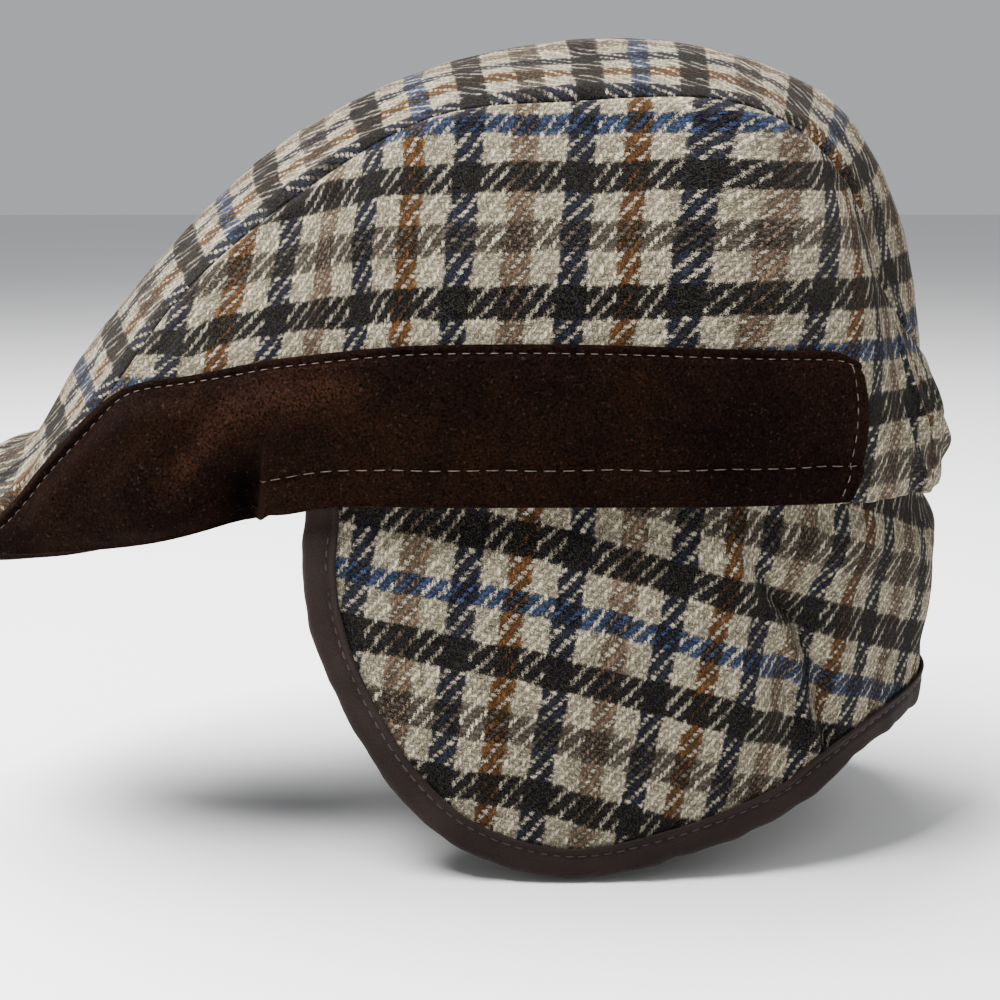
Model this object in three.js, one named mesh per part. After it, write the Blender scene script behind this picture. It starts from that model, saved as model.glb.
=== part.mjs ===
// A tweed flat cap with suede side bands, a duckbill peak and a bound ear flap folded down.
// Millimetres, +Z up. The front is -Y and the wearer's left is +X. The origin is the middle of the
// head opening, in the plane of the rim.
import * as THREE from 'three';

// Head opening, measured over the outside of the crown cloth.
const RIM_HALF_LENGTH = 103.5;
const RIM_HALF_WIDTH = 82.5;
const RIM_SQUARENESS = 0.028;
const RIM_EGG = 0.02;
const RIM_ARCH = 3;

// Cloth and leather walls.
const TWEED = 2.2;
const SUEDE = 1.6;
const FLAP_WALL = 3;
const TAPE = 0.9;
const TAPE_WIDTH = 6.3;
const TAPE_FLAT = 0.35;
const PEAK_BOARD = 2.8;
const GAP = 0.3;
const LAYER_GAP = 0.5;

// The crown from the peak's front edge to the back of the neck, one row for each section. A section
// goes from the middle line over the seam of the top panel to the lower edge. Bulge is how far the
// side panel stands out between seam and edge, and suede is the share of its height under the band.
const CROWN = {
  columns: ['midY', 'midZ', 'seamX', 'seamY', 'seamZ', 'edgeX', 'edgeY', 'edgeZ', 'bulge', 'suede'],
  rows: [
    [-163, -1, 34, -151.5, -13.5, 34.5, -151.7, -17, 0, 1], // peak front
    [-149.5, 8, 45, -138, -3.7, 46, -138.3, -14.5, 1, 1], // peak
    [-137, 13.5, 50.5, -126.5, 9.5, 54.5, -120, -12, 2.5, 1], // crease between peak and crown
    [-124, 33.5, 57, -110, 27.5, 61, -97, -8, 5, 0.97], // brow
    [-102, 60.5, 61.5, -90, 53, 65.5, -73, -2, 8.5, 0.638], // temple
    [-71, 88.8, 65, -63, 75.6, 74, -52, 2, 11.5, 0.499],
    [-36, 106.8, 66, -30, 94.7, 81.3, -25, 2.8, 13.5, 0.429],
    [4, 115.7, 65, 4, 98.8, 82.5, 5, 3, 14, 0.412], // ear
    [42, 113.4, 60, 40, 99.3, 80, 38, 2.6, 13, 0.396],
    [72, 102, 51, 62.5, 90.5, 68.5, 70, 1.6, 10, 0.416], // back of the band
    [87.2, 84, 48.5, 74, 75, 58, 82.5, 1.1, 7.5, 0.43],
    [95.6, 62, 46.5, 79, 57, 46, 91.9, 0.7, 6, 0.44],
    [98.8, 44, 39, 87.5, 45, 32, 98, 0.4, 4.2, 0.44],
    [100, 36, 22, 96, 37, 16, 102.2, 0.1, 4, 0.45],
    [100.4, 33, 0, 100.4, 33, 0, 103.5, 0, 4, 0.45], // middle of the back
    [100.8, 30, -22, 96, 37, -16, 102.2, 0.1, 4, 0.45], // mirror row that steers the last curve
  ],
};
const FRONT = 0;
const TEMPLE = 3.85;
const BACK = 14;
const TOP_ROUNDNESS = 2.1;
const TONGUE_TIP = 0.03;

// Folds in the side cloth. Each is a straight ridge or valley from s0,t0 to s1,t1 on the panel, with
// its half width and its height at both ends in millimetres.
const SIDE_FOLDS = [
  { name: 'crease at the temple', s0: 4.05, t0: -0.02, s1: 4.7, t1: 0.32, width: 5, start: -3.5, end: 0 },
  { name: 'full suede over the peak', s0: 3, t0: 0.2, s1: 3.8, t1: 0.45, width: 15, start: 3, end: 2 },
  { name: 'tuck above the nape', s0: 10, t0: 0.6, s1: 11.4, t1: 0.2, width: 8, start: -1.2, end: -0.8 },
];
const STATION_LENGTH = 25;
const PANEL_HEIGHT = 100;
const GATHER = { from: 10, full: 11.5, pitch: 0.9, depth: 1.8 };

// Lower outline of the ear flap, one row for each bend: the angle round the head from the front and
// the height.
const FLAP = {
  columns: ['angle', 'z'],
  rows: [
    [57.8, 0], // front edge under the rim
    [58.3, -22],
    [62, -43.5],
    [69.5, -67.5],
    [79, -82.8],
    [93, -89.6], // lowest over the ear
    [108.5, -83.7],
    [125, -73.2],
    [139, -60.5],
    [157, -55.6],
    [180, -56], // middle of the nape
    [203, -55.6], // mirror row that steers the last curve
  ],
};
const FLAP_BACK = 10;
const FLAP_TOP = 9;
const FLAP_TOP_ANGLE = 68;
const FLAP_INSET = 2.9;
const FLAP_SWELL = { depth: 14, side: 2.2, back: 2.1 };
const FLAP_TAPER = 0.0013;
const FLAP_FOLD_FADE = { from: 0.66, to: 0.86 };
const FLAP_FOLDS = [
  { name: 'upper tuck', s0: 113, t0: -20, s1: 124, t1: -45, width: 7, start: -0.3, end: -2.2 },
  { name: 'lower tuck', s0: 124, t0: -45, s1: 129, t1: -60, width: 7, start: -2.2, end: -1 },
  { name: 'roll beside the tuck', s0: 116, t0: -50, s1: 121, t1: -62, width: 9, start: 1.5, end: 0.5 },
];
const FLAP_DEGREE = 1.65;

// The peak's board lies inside the crown cloth. Its seat is its inner edge at the forehead, and its
// drop is how far its outer edge lies under the edge of the cloth.
const PEAK_ANGLE = 49;
const PEAK_SEAT = { temple: -3.2, middle: 14, inset: 3 };
const PEAK_CROWN = 4;
const PEAK_FRONT_SHARE = 0.3;
const PEAK_INSET = TWEED + 0.6;
const PEAK_DROP = { side: 0.4, tip: 3.9, front: 2.4 };

// The suede band from its point on the peak to its rounded rear end, in stations, and the most of the
// side panel's height that it covers.
const BAND_FRONT = 0.3;
const BAND_END = 9.05;
const BAND_END_ROUND = 0.14;
const BAND_MOST = 0.985;

// Stations where the crown's pieces are cut into facets, closer at the crease and the gathers.
const STATION_RUNS = [
  { from: 0, to: 3.6, count: 10 },
  { from: 3.6, to: 5, count: 8 },
  { from: 5, to: 10, count: 13 },
  { from: 10, to: 14, count: 16 },
];

const radians = THREE.MathUtils.degToRad;
const clamp = THREE.MathUtils.clamp;
const lerp = THREE.MathUtils.lerp;
const smooth = THREE.MathUtils.smoothstep;

function steps(from, to, count) {
  return Array.from({ length: count + 1 }, (_, i) => lerp(from, to, i / count));
}

const stations = [FRONT, ...STATION_RUNS.flatMap(({ from, to, count }) => steps(from, to, count).slice(1))];

function catmullRom(a, b, c, d, f) {
  const square = 2 * a - 5 * b + 4 * c - d;
  const cube = 3 * b - a - 3 * c + d;
  return 0.5 * (2 * b + (c - a) * f + square * f ** 2 + cube * f ** 3);
}

// Every column of a table at station s, on a smooth curve through the rows.
function sample({ columns, rows }, s) {
  const i = clamp(Math.floor(s), 0, rows.length - 2);
  const before = rows[i - 1] ?? rows[i].map((value, k) => 2 * value - rows[i + 1][k]);
  const after = rows[i + 2] ?? rows[i + 1].map((value, k) => 2 * value - rows[i][k]);
  const entry = (name, k) => [name, catmullRom(before[k], rows[i][k], rows[i + 1][k], after[k], s - i)];
  return Object.fromEntries(columns.map(entry));
}

// Height of all the folds of a list at one point of a panel laid flat.
function foldHeight(folds, s, t, sLength, tLength) {
  let height = 0;
  for (const fold of folds) {
    const along = new THREE.Vector2((fold.s1 - fold.s0) * sLength, (fold.t1 - fold.t0) * tLength);
    const from = new THREE.Vector2((s - fold.s0) * sLength, (t - fold.t0) * tLength);
    const k = clamp(from.dot(along) / along.lengthSq(), 0, 1);
    const distance = from.sub(along.multiplyScalar(k)).length();
    height += lerp(fold.start, fold.end, k) * Math.exp(-((distance / fold.width) ** 2));
  }
  return height;
}

// Point of the rim at an angle round the head: an ellipse squared off by its third harmonic and
// a little broader at the back.
function rimPoint(angle) {
  const a = radians(angle);
  const full = 1 - RIM_SQUARENESS;
  const x = (RIM_HALF_WIDTH * (Math.sin(a) + RIM_SQUARENESS * Math.sin(3 * a))) / full;
  const y = (-RIM_HALF_LENGTH * (Math.cos(a) - RIM_SQUARENESS * Math.cos(3 * a))) / full;
  return new THREE.Vector3(x * (1 - RIM_EGG * Math.cos(a)), y, RIM_ARCH * Math.sin(a) ** 2);
}

// Level direction away from the head.
function outward(point) {
  return new THREE.Vector3(point.x / RIM_HALF_WIDTH ** 2, point.y / RIM_HALF_LENGTH ** 2, 0).normalize();
}

// Outside of the left side panel: station s along the cap, t from the lower edge up to the seam.
function sidePoint(s, t) {
  const row = sample(CROWN, s);
  const edge = new THREE.Vector3(row.edgeX, row.edgeY, row.edgeZ);
  const seam = new THREE.Vector3(row.seamX, row.seamY, row.seamZ);
  const pleat = (0.5 + 0.5 * Math.cos((2 * Math.PI * (BACK - s)) / GATHER.pitch)) * GATHER.depth;
  const gathered = pleat * smooth(s, GATHER.from, GATHER.full) * (1 - smooth(t, 0.3, 1));
  const folds = foldHeight(SIDE_FOLDS, s, t, STATION_LENGTH, PANEL_HEIGHT);
  const stand = row.bulge * 4 * t * (1 - t) + (folds + gathered) * (1 - t ** 4);
  return new THREE.Vector3().lerpVectors(edge, seam, t).addScaledVector(outward(edge), stand);
}

// Outside of the top panel: station s along the cap, across from -1 at the right seam to 1 at the left.
function topPoint(s, across) {
  const row = sample(CROWN, s);
  const fall = Math.abs(across) ** TOP_ROUNDNESS;
  const y = lerp(row.midY, row.seamY, fall);
  const z = lerp(row.midZ, row.seamZ, fall);
  return new THREE.Vector3(row.seamX * across, y, z);
}

// Outside of the flap: station s along its lower outline, from the left front edge over the nape at
// FLAP_BACK to the right front edge, and t from its hidden top edge down to the outline.
function flapPoint(s, t) {
  const mirrored = s > FLAP_BACK;
  const station = mirrored ? 2 * FLAP_BACK - s : s;
  const low = sample(FLAP, station);
  const topAngle = lerp(FLAP_TOP_ANGLE, 180, station / FLAP_BACK);
  const angle = lerp(topAngle, low.angle, t);
  const z = lerp(FLAP_TOP, low.z, t);
  const depth = Math.max(-z, 0);
  const back = ((1 - Math.cos(radians(angle))) / 2) ** 2;
  const swell = (FLAP_SWELL.side + FLAP_SWELL.back * back) * smooth(depth, 0, FLAP_SWELL.depth);
  const fade = 1 - smooth(t, FLAP_FOLD_FADE.from, FLAP_FOLD_FADE.to);
  const folds = foldHeight(FLAP_FOLDS, angle, z, FLAP_DEGREE, 1) * fade;
  const point = rimPoint(angle);
  point.addScaledVector(outward(point), swell + folds - FLAP_INSET - FLAP_TAPER * depth ** 2);
  return new THREE.Vector3(mirrored ? -point.x : point.x, point.y, z);
}

// Unit normal of a surface by central differences, on the side that sign chooses.
function normalOf(surface, u, v, sign) {
  const h = 1e-3;
  const du = surface(u + h, v).sub(surface(u - h, v));
  const dv = surface(u, v + h).sub(surface(u, v - h));
  return du.cross(dv).normalize().multiplyScalar(sign);
}

const sideNormal = (s, t) => normalOf(sidePoint, s, t, 1);
const topNormal = (s, across) => normalOf(topPoint, s, across, -1);
const flapNormal = (s, t) => normalOf(flapPoint, s, t, -1);

// Both panels share this direction along their seam, so that their walls meet in a mitre.
function seamNormal(s, side) {
  const shared = sideNormal(s, 1).add(topNormal(s, 1)).normalize();
  shared.x *= side;
  return shared;
}

function geometryOf(points, triangles) {
  const geometry = new THREE.BufferGeometry();
  geometry.setAttribute('position', new THREE.Float32BufferAttribute(points.flatMap((p) => p.toArray()), 3));
  geometry.setIndex(triangles);
  geometry.computeVertexNormals();
  return geometry;
}

// Signed volume of a triangle list, which tells whether its faces point outwards.
function volumeOf(points, triangles) {
  let volume = 0;
  for (let i = 0; i < triangles.length; i += 3) {
    const [a, b, c] = [points[triangles[i]], points[triangles[i + 1]], points[triangles[i + 2]]];
    volume += a.dot(new THREE.Vector3().crossVectors(b, c)) / 6;
  }
  return volume;
}

// Closed wall between an outer and an inner surface, both given as functions of u and v.
function wall(us, vs, outer, inner) {
  const points = [outer, inner].flatMap((face) => us.flatMap((u) => vs.map((v) => face(u, v))));
  const columns = vs.length;
  const layer = us.length * columns;
  const at = (i, j, face) => face * layer + i * columns + j;
  const triangles = [];
  const quad = (a, b, c, d) => triangles.push(a, b, c, a, c, d);
  for (let i = 0; i + 1 < us.length; i += 1) {
    for (let j = 0; j + 1 < columns; j += 1) {
      quad(at(i, j, 0), at(i + 1, j, 0), at(i + 1, j + 1, 0), at(i, j + 1, 0));
      quad(at(i, j, 1), at(i, j + 1, 1), at(i + 1, j + 1, 1), at(i + 1, j, 1));
    }
    quad(at(i + 1, 0, 0), at(i, 0, 0), at(i, 0, 1), at(i + 1, 0, 1));
    quad(at(i, columns - 1, 0), at(i + 1, columns - 1, 0), at(i + 1, columns - 1, 1), at(i, columns - 1, 1));
  }
  for (let j = 0; j + 1 < columns; j += 1) {
    const end = us.length - 1;
    quad(at(0, j, 0), at(0, j + 1, 0), at(0, j + 1, 1), at(0, j, 1));
    quad(at(end, j + 1, 0), at(end, j, 0), at(end, j, 1), at(end, j + 1, 1));
  }
  if (volumeOf(points, triangles) < 0) triangles.reverse();
  return geometryOf(points, triangles);
}

function mirror(geometry) {
  const copy = geometry.clone().scale(-1, 1, 1);
  copy.setIndex(Array.from(copy.index.array).reverse());
  copy.computeVertexNormals();
  return copy;
}

// A small clearance from the middle plane, so that the two side panels never touch.
function clearOfMiddle(point) {
  point.x = Math.max(point.x, GAP / 2);
  return point;
}

function crownTop() {
  const rows = stations.map((s) => Math.min(s, BACK - TONGUE_TIP));
  const acrosses = steps(-1, 1, 10);
  const trim = (s) => 1 - GAP / sample(CROWN, s).seamX;
  const outer = (s, v) => topPoint(s, v * trim(s));
  const inner = (s, v) => {
    const edge = Math.abs(v) === 1;
    const normal = edge ? seamNormal(s, v) : topNormal(s, v);
    return outer(s, v).addScaledVector(normal, -TWEED);
  };
  return wall(rows, acrosses, outer, inner);
}

function crownSide() {
  const heights = steps(0, 1, 8);
  const trim = (s) => 1 - GAP / (sample(CROWN, s).seamZ - sample(CROWN, s).edgeZ);
  const outer = (s, t) => clearOfMiddle(sidePoint(s, t * trim(s)));
  const inner = (s, t) => {
    const normal = t === 1 ? seamNormal(s, 1) : sideNormal(s, t);
    return clearOfMiddle(sidePoint(s, t * trim(s)).addScaledVector(normal, -TWEED));
  };
  return wall(stations, heights, outer, inner);
}

// The suede lies on the side panel. Its rear end is a shallow round, and over the peak it fills the
// panel up to the seam.
function bandPoint(station, height, lift) {
  const round = BAND_END_ROUND * 4 * height * (1 - height);
  const s = station + round * smooth(station, BAND_END - 0.5, BAND_END);
  const t = height * Math.min(sample(CROWN, s).suede, BAND_MOST);
  return sidePoint(s, t).addScaledVector(sideNormal(s, t), lift);
}

function band() {
  const between = stations.filter((s) => s > BAND_FRONT && s < BAND_END - 0.1);
  const outer = (s, height) => bandPoint(s, height, LAYER_GAP + SUEDE);
  const inner = (s, height) => bandPoint(s, height, LAYER_GAP);
  return wall([BAND_FRONT, ...between, BAND_END], steps(0, 1, 5), outer, inner);
}

// Outer edge of the peak from the right temple (-1) over its front to the left temple (1), just
// inside the crown cloth.
function peakEdge(turn) {
  const share = Math.abs(turn);
  const point = new THREE.Vector3();
  if (share <= PEAK_FRONT_SHARE) {
    const toTip = share / PEAK_FRONT_SHARE;
    point.copy(topPoint(FRONT, toTip));
    point.z -= lerp(PEAK_DROP.front, PEAK_DROP.tip, toTip ** 2);
  } else {
    const row = sample(CROWN, lerp(FRONT, TEMPLE, (share - PEAK_FRONT_SHARE) / (1 - PEAK_FRONT_SHARE)));
    point.set(row.edgeX, row.edgeY, row.edgeZ - PEAK_DROP.side);
  }
  point.addScaledVector(outward(point), -PEAK_INSET);
  point.x *= Math.sign(turn);
  return point;
}

// Upper face of the peak's board, from the forehead (0) to its outer edge (1).
function peakPoint(turn, out) {
  const seat = rimPoint(Math.abs(turn) * PEAK_ANGLE);
  seat.addScaledVector(outward(seat), -PEAK_SEAT.inset);
  seat.x *= Math.sign(turn);
  seat.z = lerp(PEAK_SEAT.middle, PEAK_SEAT.temple, turn ** 2);
  const point = seat.lerp(peakEdge(turn), out);
  point.z += PEAK_CROWN * 4 * out * (1 - out) * (1 - turn ** 2) ** 2;
  return point;
}

function peak() {
  const inner = (turn, out) => {
    const normal = normalOf(peakPoint, turn, out, -1);
    return peakPoint(turn, out).addScaledVector(normal, -PEAK_BOARD);
  };
  return wall(steps(-1, 1, 40), steps(0, 1, 4), peakPoint, inner);
}

const flapStations = steps(0, 2 * FLAP_BACK, 72);

function earFlap() {
  const inner = (s, t) => flapPoint(s, t).addScaledVector(flapNormal(s, t), -FLAP_WALL);
  return wall(flapStations, steps(0, 1, 7), flapPoint, inner);
}

// Station and height on the flap at a distance in from its lower outline, square to the outline.
function inFromOutline(s, distance) {
  const h = 1e-3;
  const ds = flapPoint(s + h, 1).sub(flapPoint(s - h, 1)).divideScalar(2 * h);
  const dt = flapPoint(s, 1).sub(flapPoint(s, 1 - h)).divideScalar(h);
  const slant = ds.dot(dt) / ds.lengthSq();
  const square = dt.clone().addScaledVector(ds, -slant);
  const share = distance / square.length();
  return { s: s + slant * share, t: 1 - share, out: square.normalize() };
}

// Outer face of the tape folded over the flap's edge: across goes from 0, the upper margin outside,
// round the edge to 1, the upper margin inside. The fold takes what the two flat shares leave.
function tapePoint(s, across) {
  const half = FLAP_WALL / 2 + LAYER_GAP + TAPE;
  const outside = across < TAPE_FLAT;
  if (outside || across > 1 - TAPE_FLAT) {
    const margin = TAPE_WIDTH * (1 - (outside ? across : 1 - across) / TAPE_FLAT);
    const place = inFromOutline(s, margin);
    const lift = outside ? LAYER_GAP + TAPE : -FLAP_WALL - LAYER_GAP - TAPE;
    return flapPoint(place.s, place.t).addScaledVector(flapNormal(place.s, place.t), lift);
  }
  const turn = (Math.PI * (across - TAPE_FLAT)) / (1 - 2 * TAPE_FLAT);
  const normal = flapNormal(s, 1);
  const middle = flapPoint(s, 1).addScaledVector(normal, -FLAP_WALL / 2);
  const { out } = inFromOutline(s, 0);
  return middle.addScaledVector(normal, half * Math.cos(turn)).addScaledVector(out, half * Math.sin(turn));
}

function flapBinding() {
  const acrosses = [0, ...steps(TAPE_FLAT, 1 - TAPE_FLAT, 3), 1];
  const inner = (s, across) => {
    const normal = normalOf(tapePoint, s, across, -1);
    return tapePoint(s, across).addScaledVector(normal, -TAPE);
  };
  return wall(flapStations, acrosses, tapePoint, inner);
}

const tweedFinish = { color: 0x8c8478, roughness: 0.95, metalness: 0 };
const suedeFinish = { color: 0x2f1d16, roughness: 0.9, metalness: 0 };
const tapeFinish = { color: 0x3a302d, roughness: 0.85, metalness: 0 };

const cap = new THREE.Group();

function addPiece(name, geometry, finish) {
  const mesh = new THREE.Mesh(geometry, new THREE.MeshStandardMaterial(finish));
  mesh.name = name;
  cap.add(mesh);
}

const leftSide = crownSide();
const leftBand = band();
addPiece('crown_top', crownTop(), tweedFinish);
addPiece('crown_side_left', leftSide, tweedFinish);
addPiece('crown_side_right', mirror(leftSide), tweedFinish);
addPiece('suede_band_left', leftBand, suedeFinish);
addPiece('suede_band_right', mirror(leftBand), suedeFinish);
addPiece('peak', peak(), suedeFinish);
addPiece('ear_flap', earFlap(), tweedFinish);
addPiece('flap_binding', flapBinding(), tapeFinish);

export default cap;
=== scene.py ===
# %% [markdown]
# # A tweed flat cap with suede bands and a folded-down ear flap
# A cap like this is sewn from a few panels of woollen cloth: one runs from the peak over the top of the
# head and down the back, and one stands on each side. Suede bands are stitched over the side panels, and
# a flap that covers the ears and the nape hangs from the rim, with twill tape folded over its edge. The
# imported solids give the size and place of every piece. Here each of them is replaced by a finer surface.

import bpy
import numpy as np
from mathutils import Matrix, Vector


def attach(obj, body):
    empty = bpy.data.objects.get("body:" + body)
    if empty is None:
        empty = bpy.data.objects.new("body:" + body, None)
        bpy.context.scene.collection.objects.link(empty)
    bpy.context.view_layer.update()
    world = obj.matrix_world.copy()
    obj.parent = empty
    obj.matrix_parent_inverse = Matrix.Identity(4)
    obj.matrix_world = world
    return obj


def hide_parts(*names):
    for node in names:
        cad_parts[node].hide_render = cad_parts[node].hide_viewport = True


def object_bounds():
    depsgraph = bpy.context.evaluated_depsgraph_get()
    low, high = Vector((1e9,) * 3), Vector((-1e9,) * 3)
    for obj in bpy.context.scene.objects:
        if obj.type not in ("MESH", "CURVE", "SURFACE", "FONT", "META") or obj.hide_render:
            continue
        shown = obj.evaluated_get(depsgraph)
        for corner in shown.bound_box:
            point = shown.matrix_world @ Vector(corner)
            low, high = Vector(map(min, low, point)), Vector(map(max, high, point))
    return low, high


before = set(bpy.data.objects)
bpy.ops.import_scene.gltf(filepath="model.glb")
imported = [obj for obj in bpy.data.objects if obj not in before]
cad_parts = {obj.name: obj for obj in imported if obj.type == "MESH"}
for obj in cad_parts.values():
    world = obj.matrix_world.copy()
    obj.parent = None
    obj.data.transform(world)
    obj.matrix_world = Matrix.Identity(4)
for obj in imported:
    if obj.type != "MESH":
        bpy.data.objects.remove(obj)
solid_box = [list(corner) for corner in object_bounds()]
MM = 0.001
print("solids:", ", ".join(sorted(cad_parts)))
print("solid box in metres:", np.round(solid_box, 4).tolist())

# %% [markdown]
# ## Working in whole arrays
# A sewn panel could be sculpted by hand, but a formula is easier to change. Each surface below is a
# function of two parameters, and numpy works it out for a whole grid at once. These small helpers do what
# all of them need: stack coordinates into points, ease a value in and out, and find the direction that
# stands off a surface.

# %% Helpers for arrays of points
DIFFERENCE_STEP = 1e-3
RIPPLE_WAVES = 9


def point(x, y, z):
    """Three coordinate arrays stacked into one array of points."""
    return np.stack(np.broadcast_arrays(x, y, z), axis=-1)


def unit(vectors):
    """Each vector divided by its own length."""
    return vectors / np.linalg.norm(vectors, axis=-1, keepdims=True)


def mix(a, b, f):
    """The value that lies the share f of the way from a to b."""
    return a + (b - a) * f


def ease(value, start, end):
    """0 before start and 1 after end, with the cubic 3f^2 - 2f^3 of the share f in between."""
    f = np.clip((value - start) / (end - start), 0, 1)
    return f * f * (3 - 2 * f)


def normals_of(surface, u, v, sign):
    """Cross product of a surface's two central differences, made one long, on the side that sign chooses."""
    h = DIFFERENCE_STEP
    du = surface(u + h, v) - surface(u - h, v)
    dv = surface(u, v + h) - surface(u, v - h)
    return sign * unit(np.cross(du, dv))


def arc_lengths(points, axis):
    """Distance walked along one grid direction, starting from 0: the running sum of the steps' lengths."""
    steps = np.linalg.norm(np.diff(points, axis=axis), axis=-1)
    start = np.zeros_like(np.take(steps, [0], axis=axis))
    return np.concatenate([start, np.cumsum(steps, axis=axis)], axis=axis)


def ripples(a, b, wavelength, height, seed):
    """Slow unevenness of cloth: sine waves of about one wavelength, in seeded directions, added up."""
    rng = np.random.default_rng(seed)
    turn = rng.uniform(0, np.pi, RIPPLE_WAVES)
    phase = rng.uniform(0, 2 * np.pi, RIPPLE_WAVES)
    wave = 2 * np.pi / (wavelength * rng.uniform(0.7, 1.5, RIPPLE_WAVES))
    angle = a[..., None] * wave * np.cos(turn) + b[..., None] * wave * np.sin(turn) + phase
    return height * np.sin(angle).sum(axis=-1) / np.sqrt(RIPPLE_WAVES)


def uneven(a, b, waves):
    """Sum of several ripples, each given by its wavelength and height in millimetres and its seed."""
    return sum(ripples(a, b, *wave) for wave in waves)


def bell(distance, width):
    """Gauss curve: 1 at no distance, falling by the square of the distance over the width."""
    return np.exp(-((distance / width) ** 2))


print("a step eased half way:", ease(0.5, 0, 1))

# %% [markdown]
# ## The crown's sections
# The crown has no simple shape, so it is described by a short table. Each row is one section of the cap,
# from the peak's front edge to the middle of the back: a point on the middle line, a point on the seam of
# the top panel and a point on the lower edge. A smooth curve runs through every column.

# %% Table of sections in millimetres, and the curve through its rows
CROWN_COLUMNS = (
    "mid_y", "mid_z", "seam_x", "seam_y", "seam_z", "edge_x", "edge_y", "edge_z", "bulge", "suede",
)
CROWN_ROWS = np.array([
    [-163, -1, 34, -151.5, -13.5, 34.5, -151.7, -17, 0, 1],
    [-149.5, 8, 45, -138, -3.7, 46, -138.3, -14.5, 1, 1],
    [-137, 13.5, 50.5, -126.5, 9.5, 54.5, -120, -12, 2.5, 1],
    [-124, 33.5, 57, -110, 27.5, 61, -97, -8, 5, 0.945],
    [-102, 60.5, 61.5, -90, 53, 65.5, -73, -2, 8.5, 0.638],
    [-71, 88.8, 65, -63, 75.6, 74, -52, 2, 11.5, 0.499],
    [-36, 106.8, 66, -30, 94.7, 81.3, -25, 2.8, 13.5, 0.429],
    [4, 115.7, 65, 4, 98.8, 82.5, 5, 3, 14, 0.412],
    [42, 113.4, 60, 40, 99.3, 80, 38, 2.6, 13, 0.396],
    [72, 102, 51, 62.5, 90.5, 68.5, 70, 1.6, 10, 0.416],
    [87.2, 84, 48.5, 74, 75, 58, 82.5, 1.1, 7.5, 0.43],
    [95.6, 62, 46.5, 79, 57, 46, 91.9, 0.7, 6, 0.44],
    [98.8, 44, 39, 87.5, 45, 32, 98, 0.4, 4.2, 0.44],
    [100, 36, 22, 96, 37, 16, 102.2, 0.1, 4, 0.45],
    [100.4, 33, 0, 100.4, 33, 0, 103.5, 0, 4, 0.45],
    [100.8, 30, -22, 96, 37, -16, 102.2, 0.1, 4, 0.45],
])
CROWN_FRONT = 0.0
CROWN_BACK = 14.0


def through(rows, s):
    """Catmull-Rom curve: between two rows it is the cubic that keeps the slope of the rows on either side."""
    first, last = 2 * rows[0] - rows[1], 2 * rows[-1] - rows[-2]
    rows = np.vstack([first, rows, last])
    s = np.asarray(s, float)
    i = np.clip(np.floor(s).astype(int), 0, len(rows) - 4)
    f = (s - i)[..., None]
    a, b, c, d = (rows[i + k] for k in range(4))
    return 0.5 * (2 * b + (c - a) * f + (2 * a - 5 * b + 4 * c - d) * f**2 + (3 * b - a - 3 * c + d) * f**3)


def crown(s):
    """Every column of the crown's table at station s."""
    return dict(zip(CROWN_COLUMNS, np.moveaxis(through(CROWN_ROWS, s), -1, 0)))


print("crown length along the middle, mm:", round(float(np.ptp(CROWN_ROWS[:, 0])), 1))

# %% [markdown]
# ## The head opening and the folds
# The rim is an ellipse squared off a little and broader at the back, as heads are. Level directions away
# from the head come from it. Folds are the life of cloth: each is a straight line on a panel, with a
# bell-shaped ridge or valley across it.

# %% Rim curve, level directions and fold heights
RIM_HALF_LENGTH = 103.5
RIM_HALF_WIDTH = 82.5
RIM_SQUARENESS = 0.028
RIM_EGG = 0.02
RIM_ARCH = 3.0


def rim_point(degrees):
    """Ellipse made squarer by its third harmonic, at an angle round the head from the front."""
    a = np.radians(degrees)
    full = 1 - RIM_SQUARENESS
    x = RIM_HALF_WIDTH * (np.sin(a) + RIM_SQUARENESS * np.sin(3 * a)) / full
    y = -RIM_HALF_LENGTH * (np.cos(a) - RIM_SQUARENESS * np.cos(3 * a)) / full
    return point(x * (1 - RIM_EGG * np.cos(a)), y, RIM_ARCH * np.sin(a) ** 2)


def outward(points):
    """Level direction away from the head: the gradient of the rim's ellipse."""
    level = points[..., :2] / np.array([RIM_HALF_WIDTH, RIM_HALF_LENGTH]) ** 2
    return unit(point(level[..., 0], level[..., 1], 0.0))


def fold_height(folds, a, b, a_length, b_length):
    """Height of a list of folds: it runs evenly along each line and falls off as a bell across it."""
    height = np.zeros(np.broadcast(a, b).shape)
    for a0, b0, a1, b1, width, start, end in folds:
        along_a, along_b = (a1 - a0) * a_length, (b1 - b0) * b_length
        from_a, from_b = (a - a0) * a_length, (b - b0) * b_length
        k = np.clip((from_a * along_a + from_b * along_b) / (along_a**2 + along_b**2), 0, 1)
        distance = np.hypot(from_a - k * along_a, from_b - k * along_b)
        height += mix(start, end, k) * bell(distance, width)
    return height


rim_line = rim_point(np.linspace(0, 360, 721))
print("rim length, mm:", round(float(arc_lengths(rim_line, 0)[-1])))

# %% [markdown]
# ## The two crown surfaces
# A side panel rises from the lower edge to the seam and stands out in a parabola between them, with folds
# at the temple and gathers at the back, where the cloth is drawn together. The top panel falls away from
# the middle line to the seam on both sides, a little flatter than a parabola in the middle.

# %% Side panel and top panel as functions
# Each fold: station and height share at both ends, half width, and its height at both ends.
SIDE_FOLDS = (
    (4.05, -0.02, 4.7, 0.32, 5, -3.5, 0),
    (3.0, 0.2, 3.8, 0.45, 15, 3, 2),
    (10.0, 0.6, 11.4, 0.2, 8, -1.2, -0.8),
)
STATION_LENGTH = 25.0
PANEL_HEIGHT = 100.0
GATHER_FROM, GATHER_FULL, GATHER_PITCH, GATHER_DEPTH = 10.0, 11.5, 0.9, 1.8
GATHER_FADE = (0.3, 1.0)
TOP_ROUNDNESS = 2.1


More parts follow.
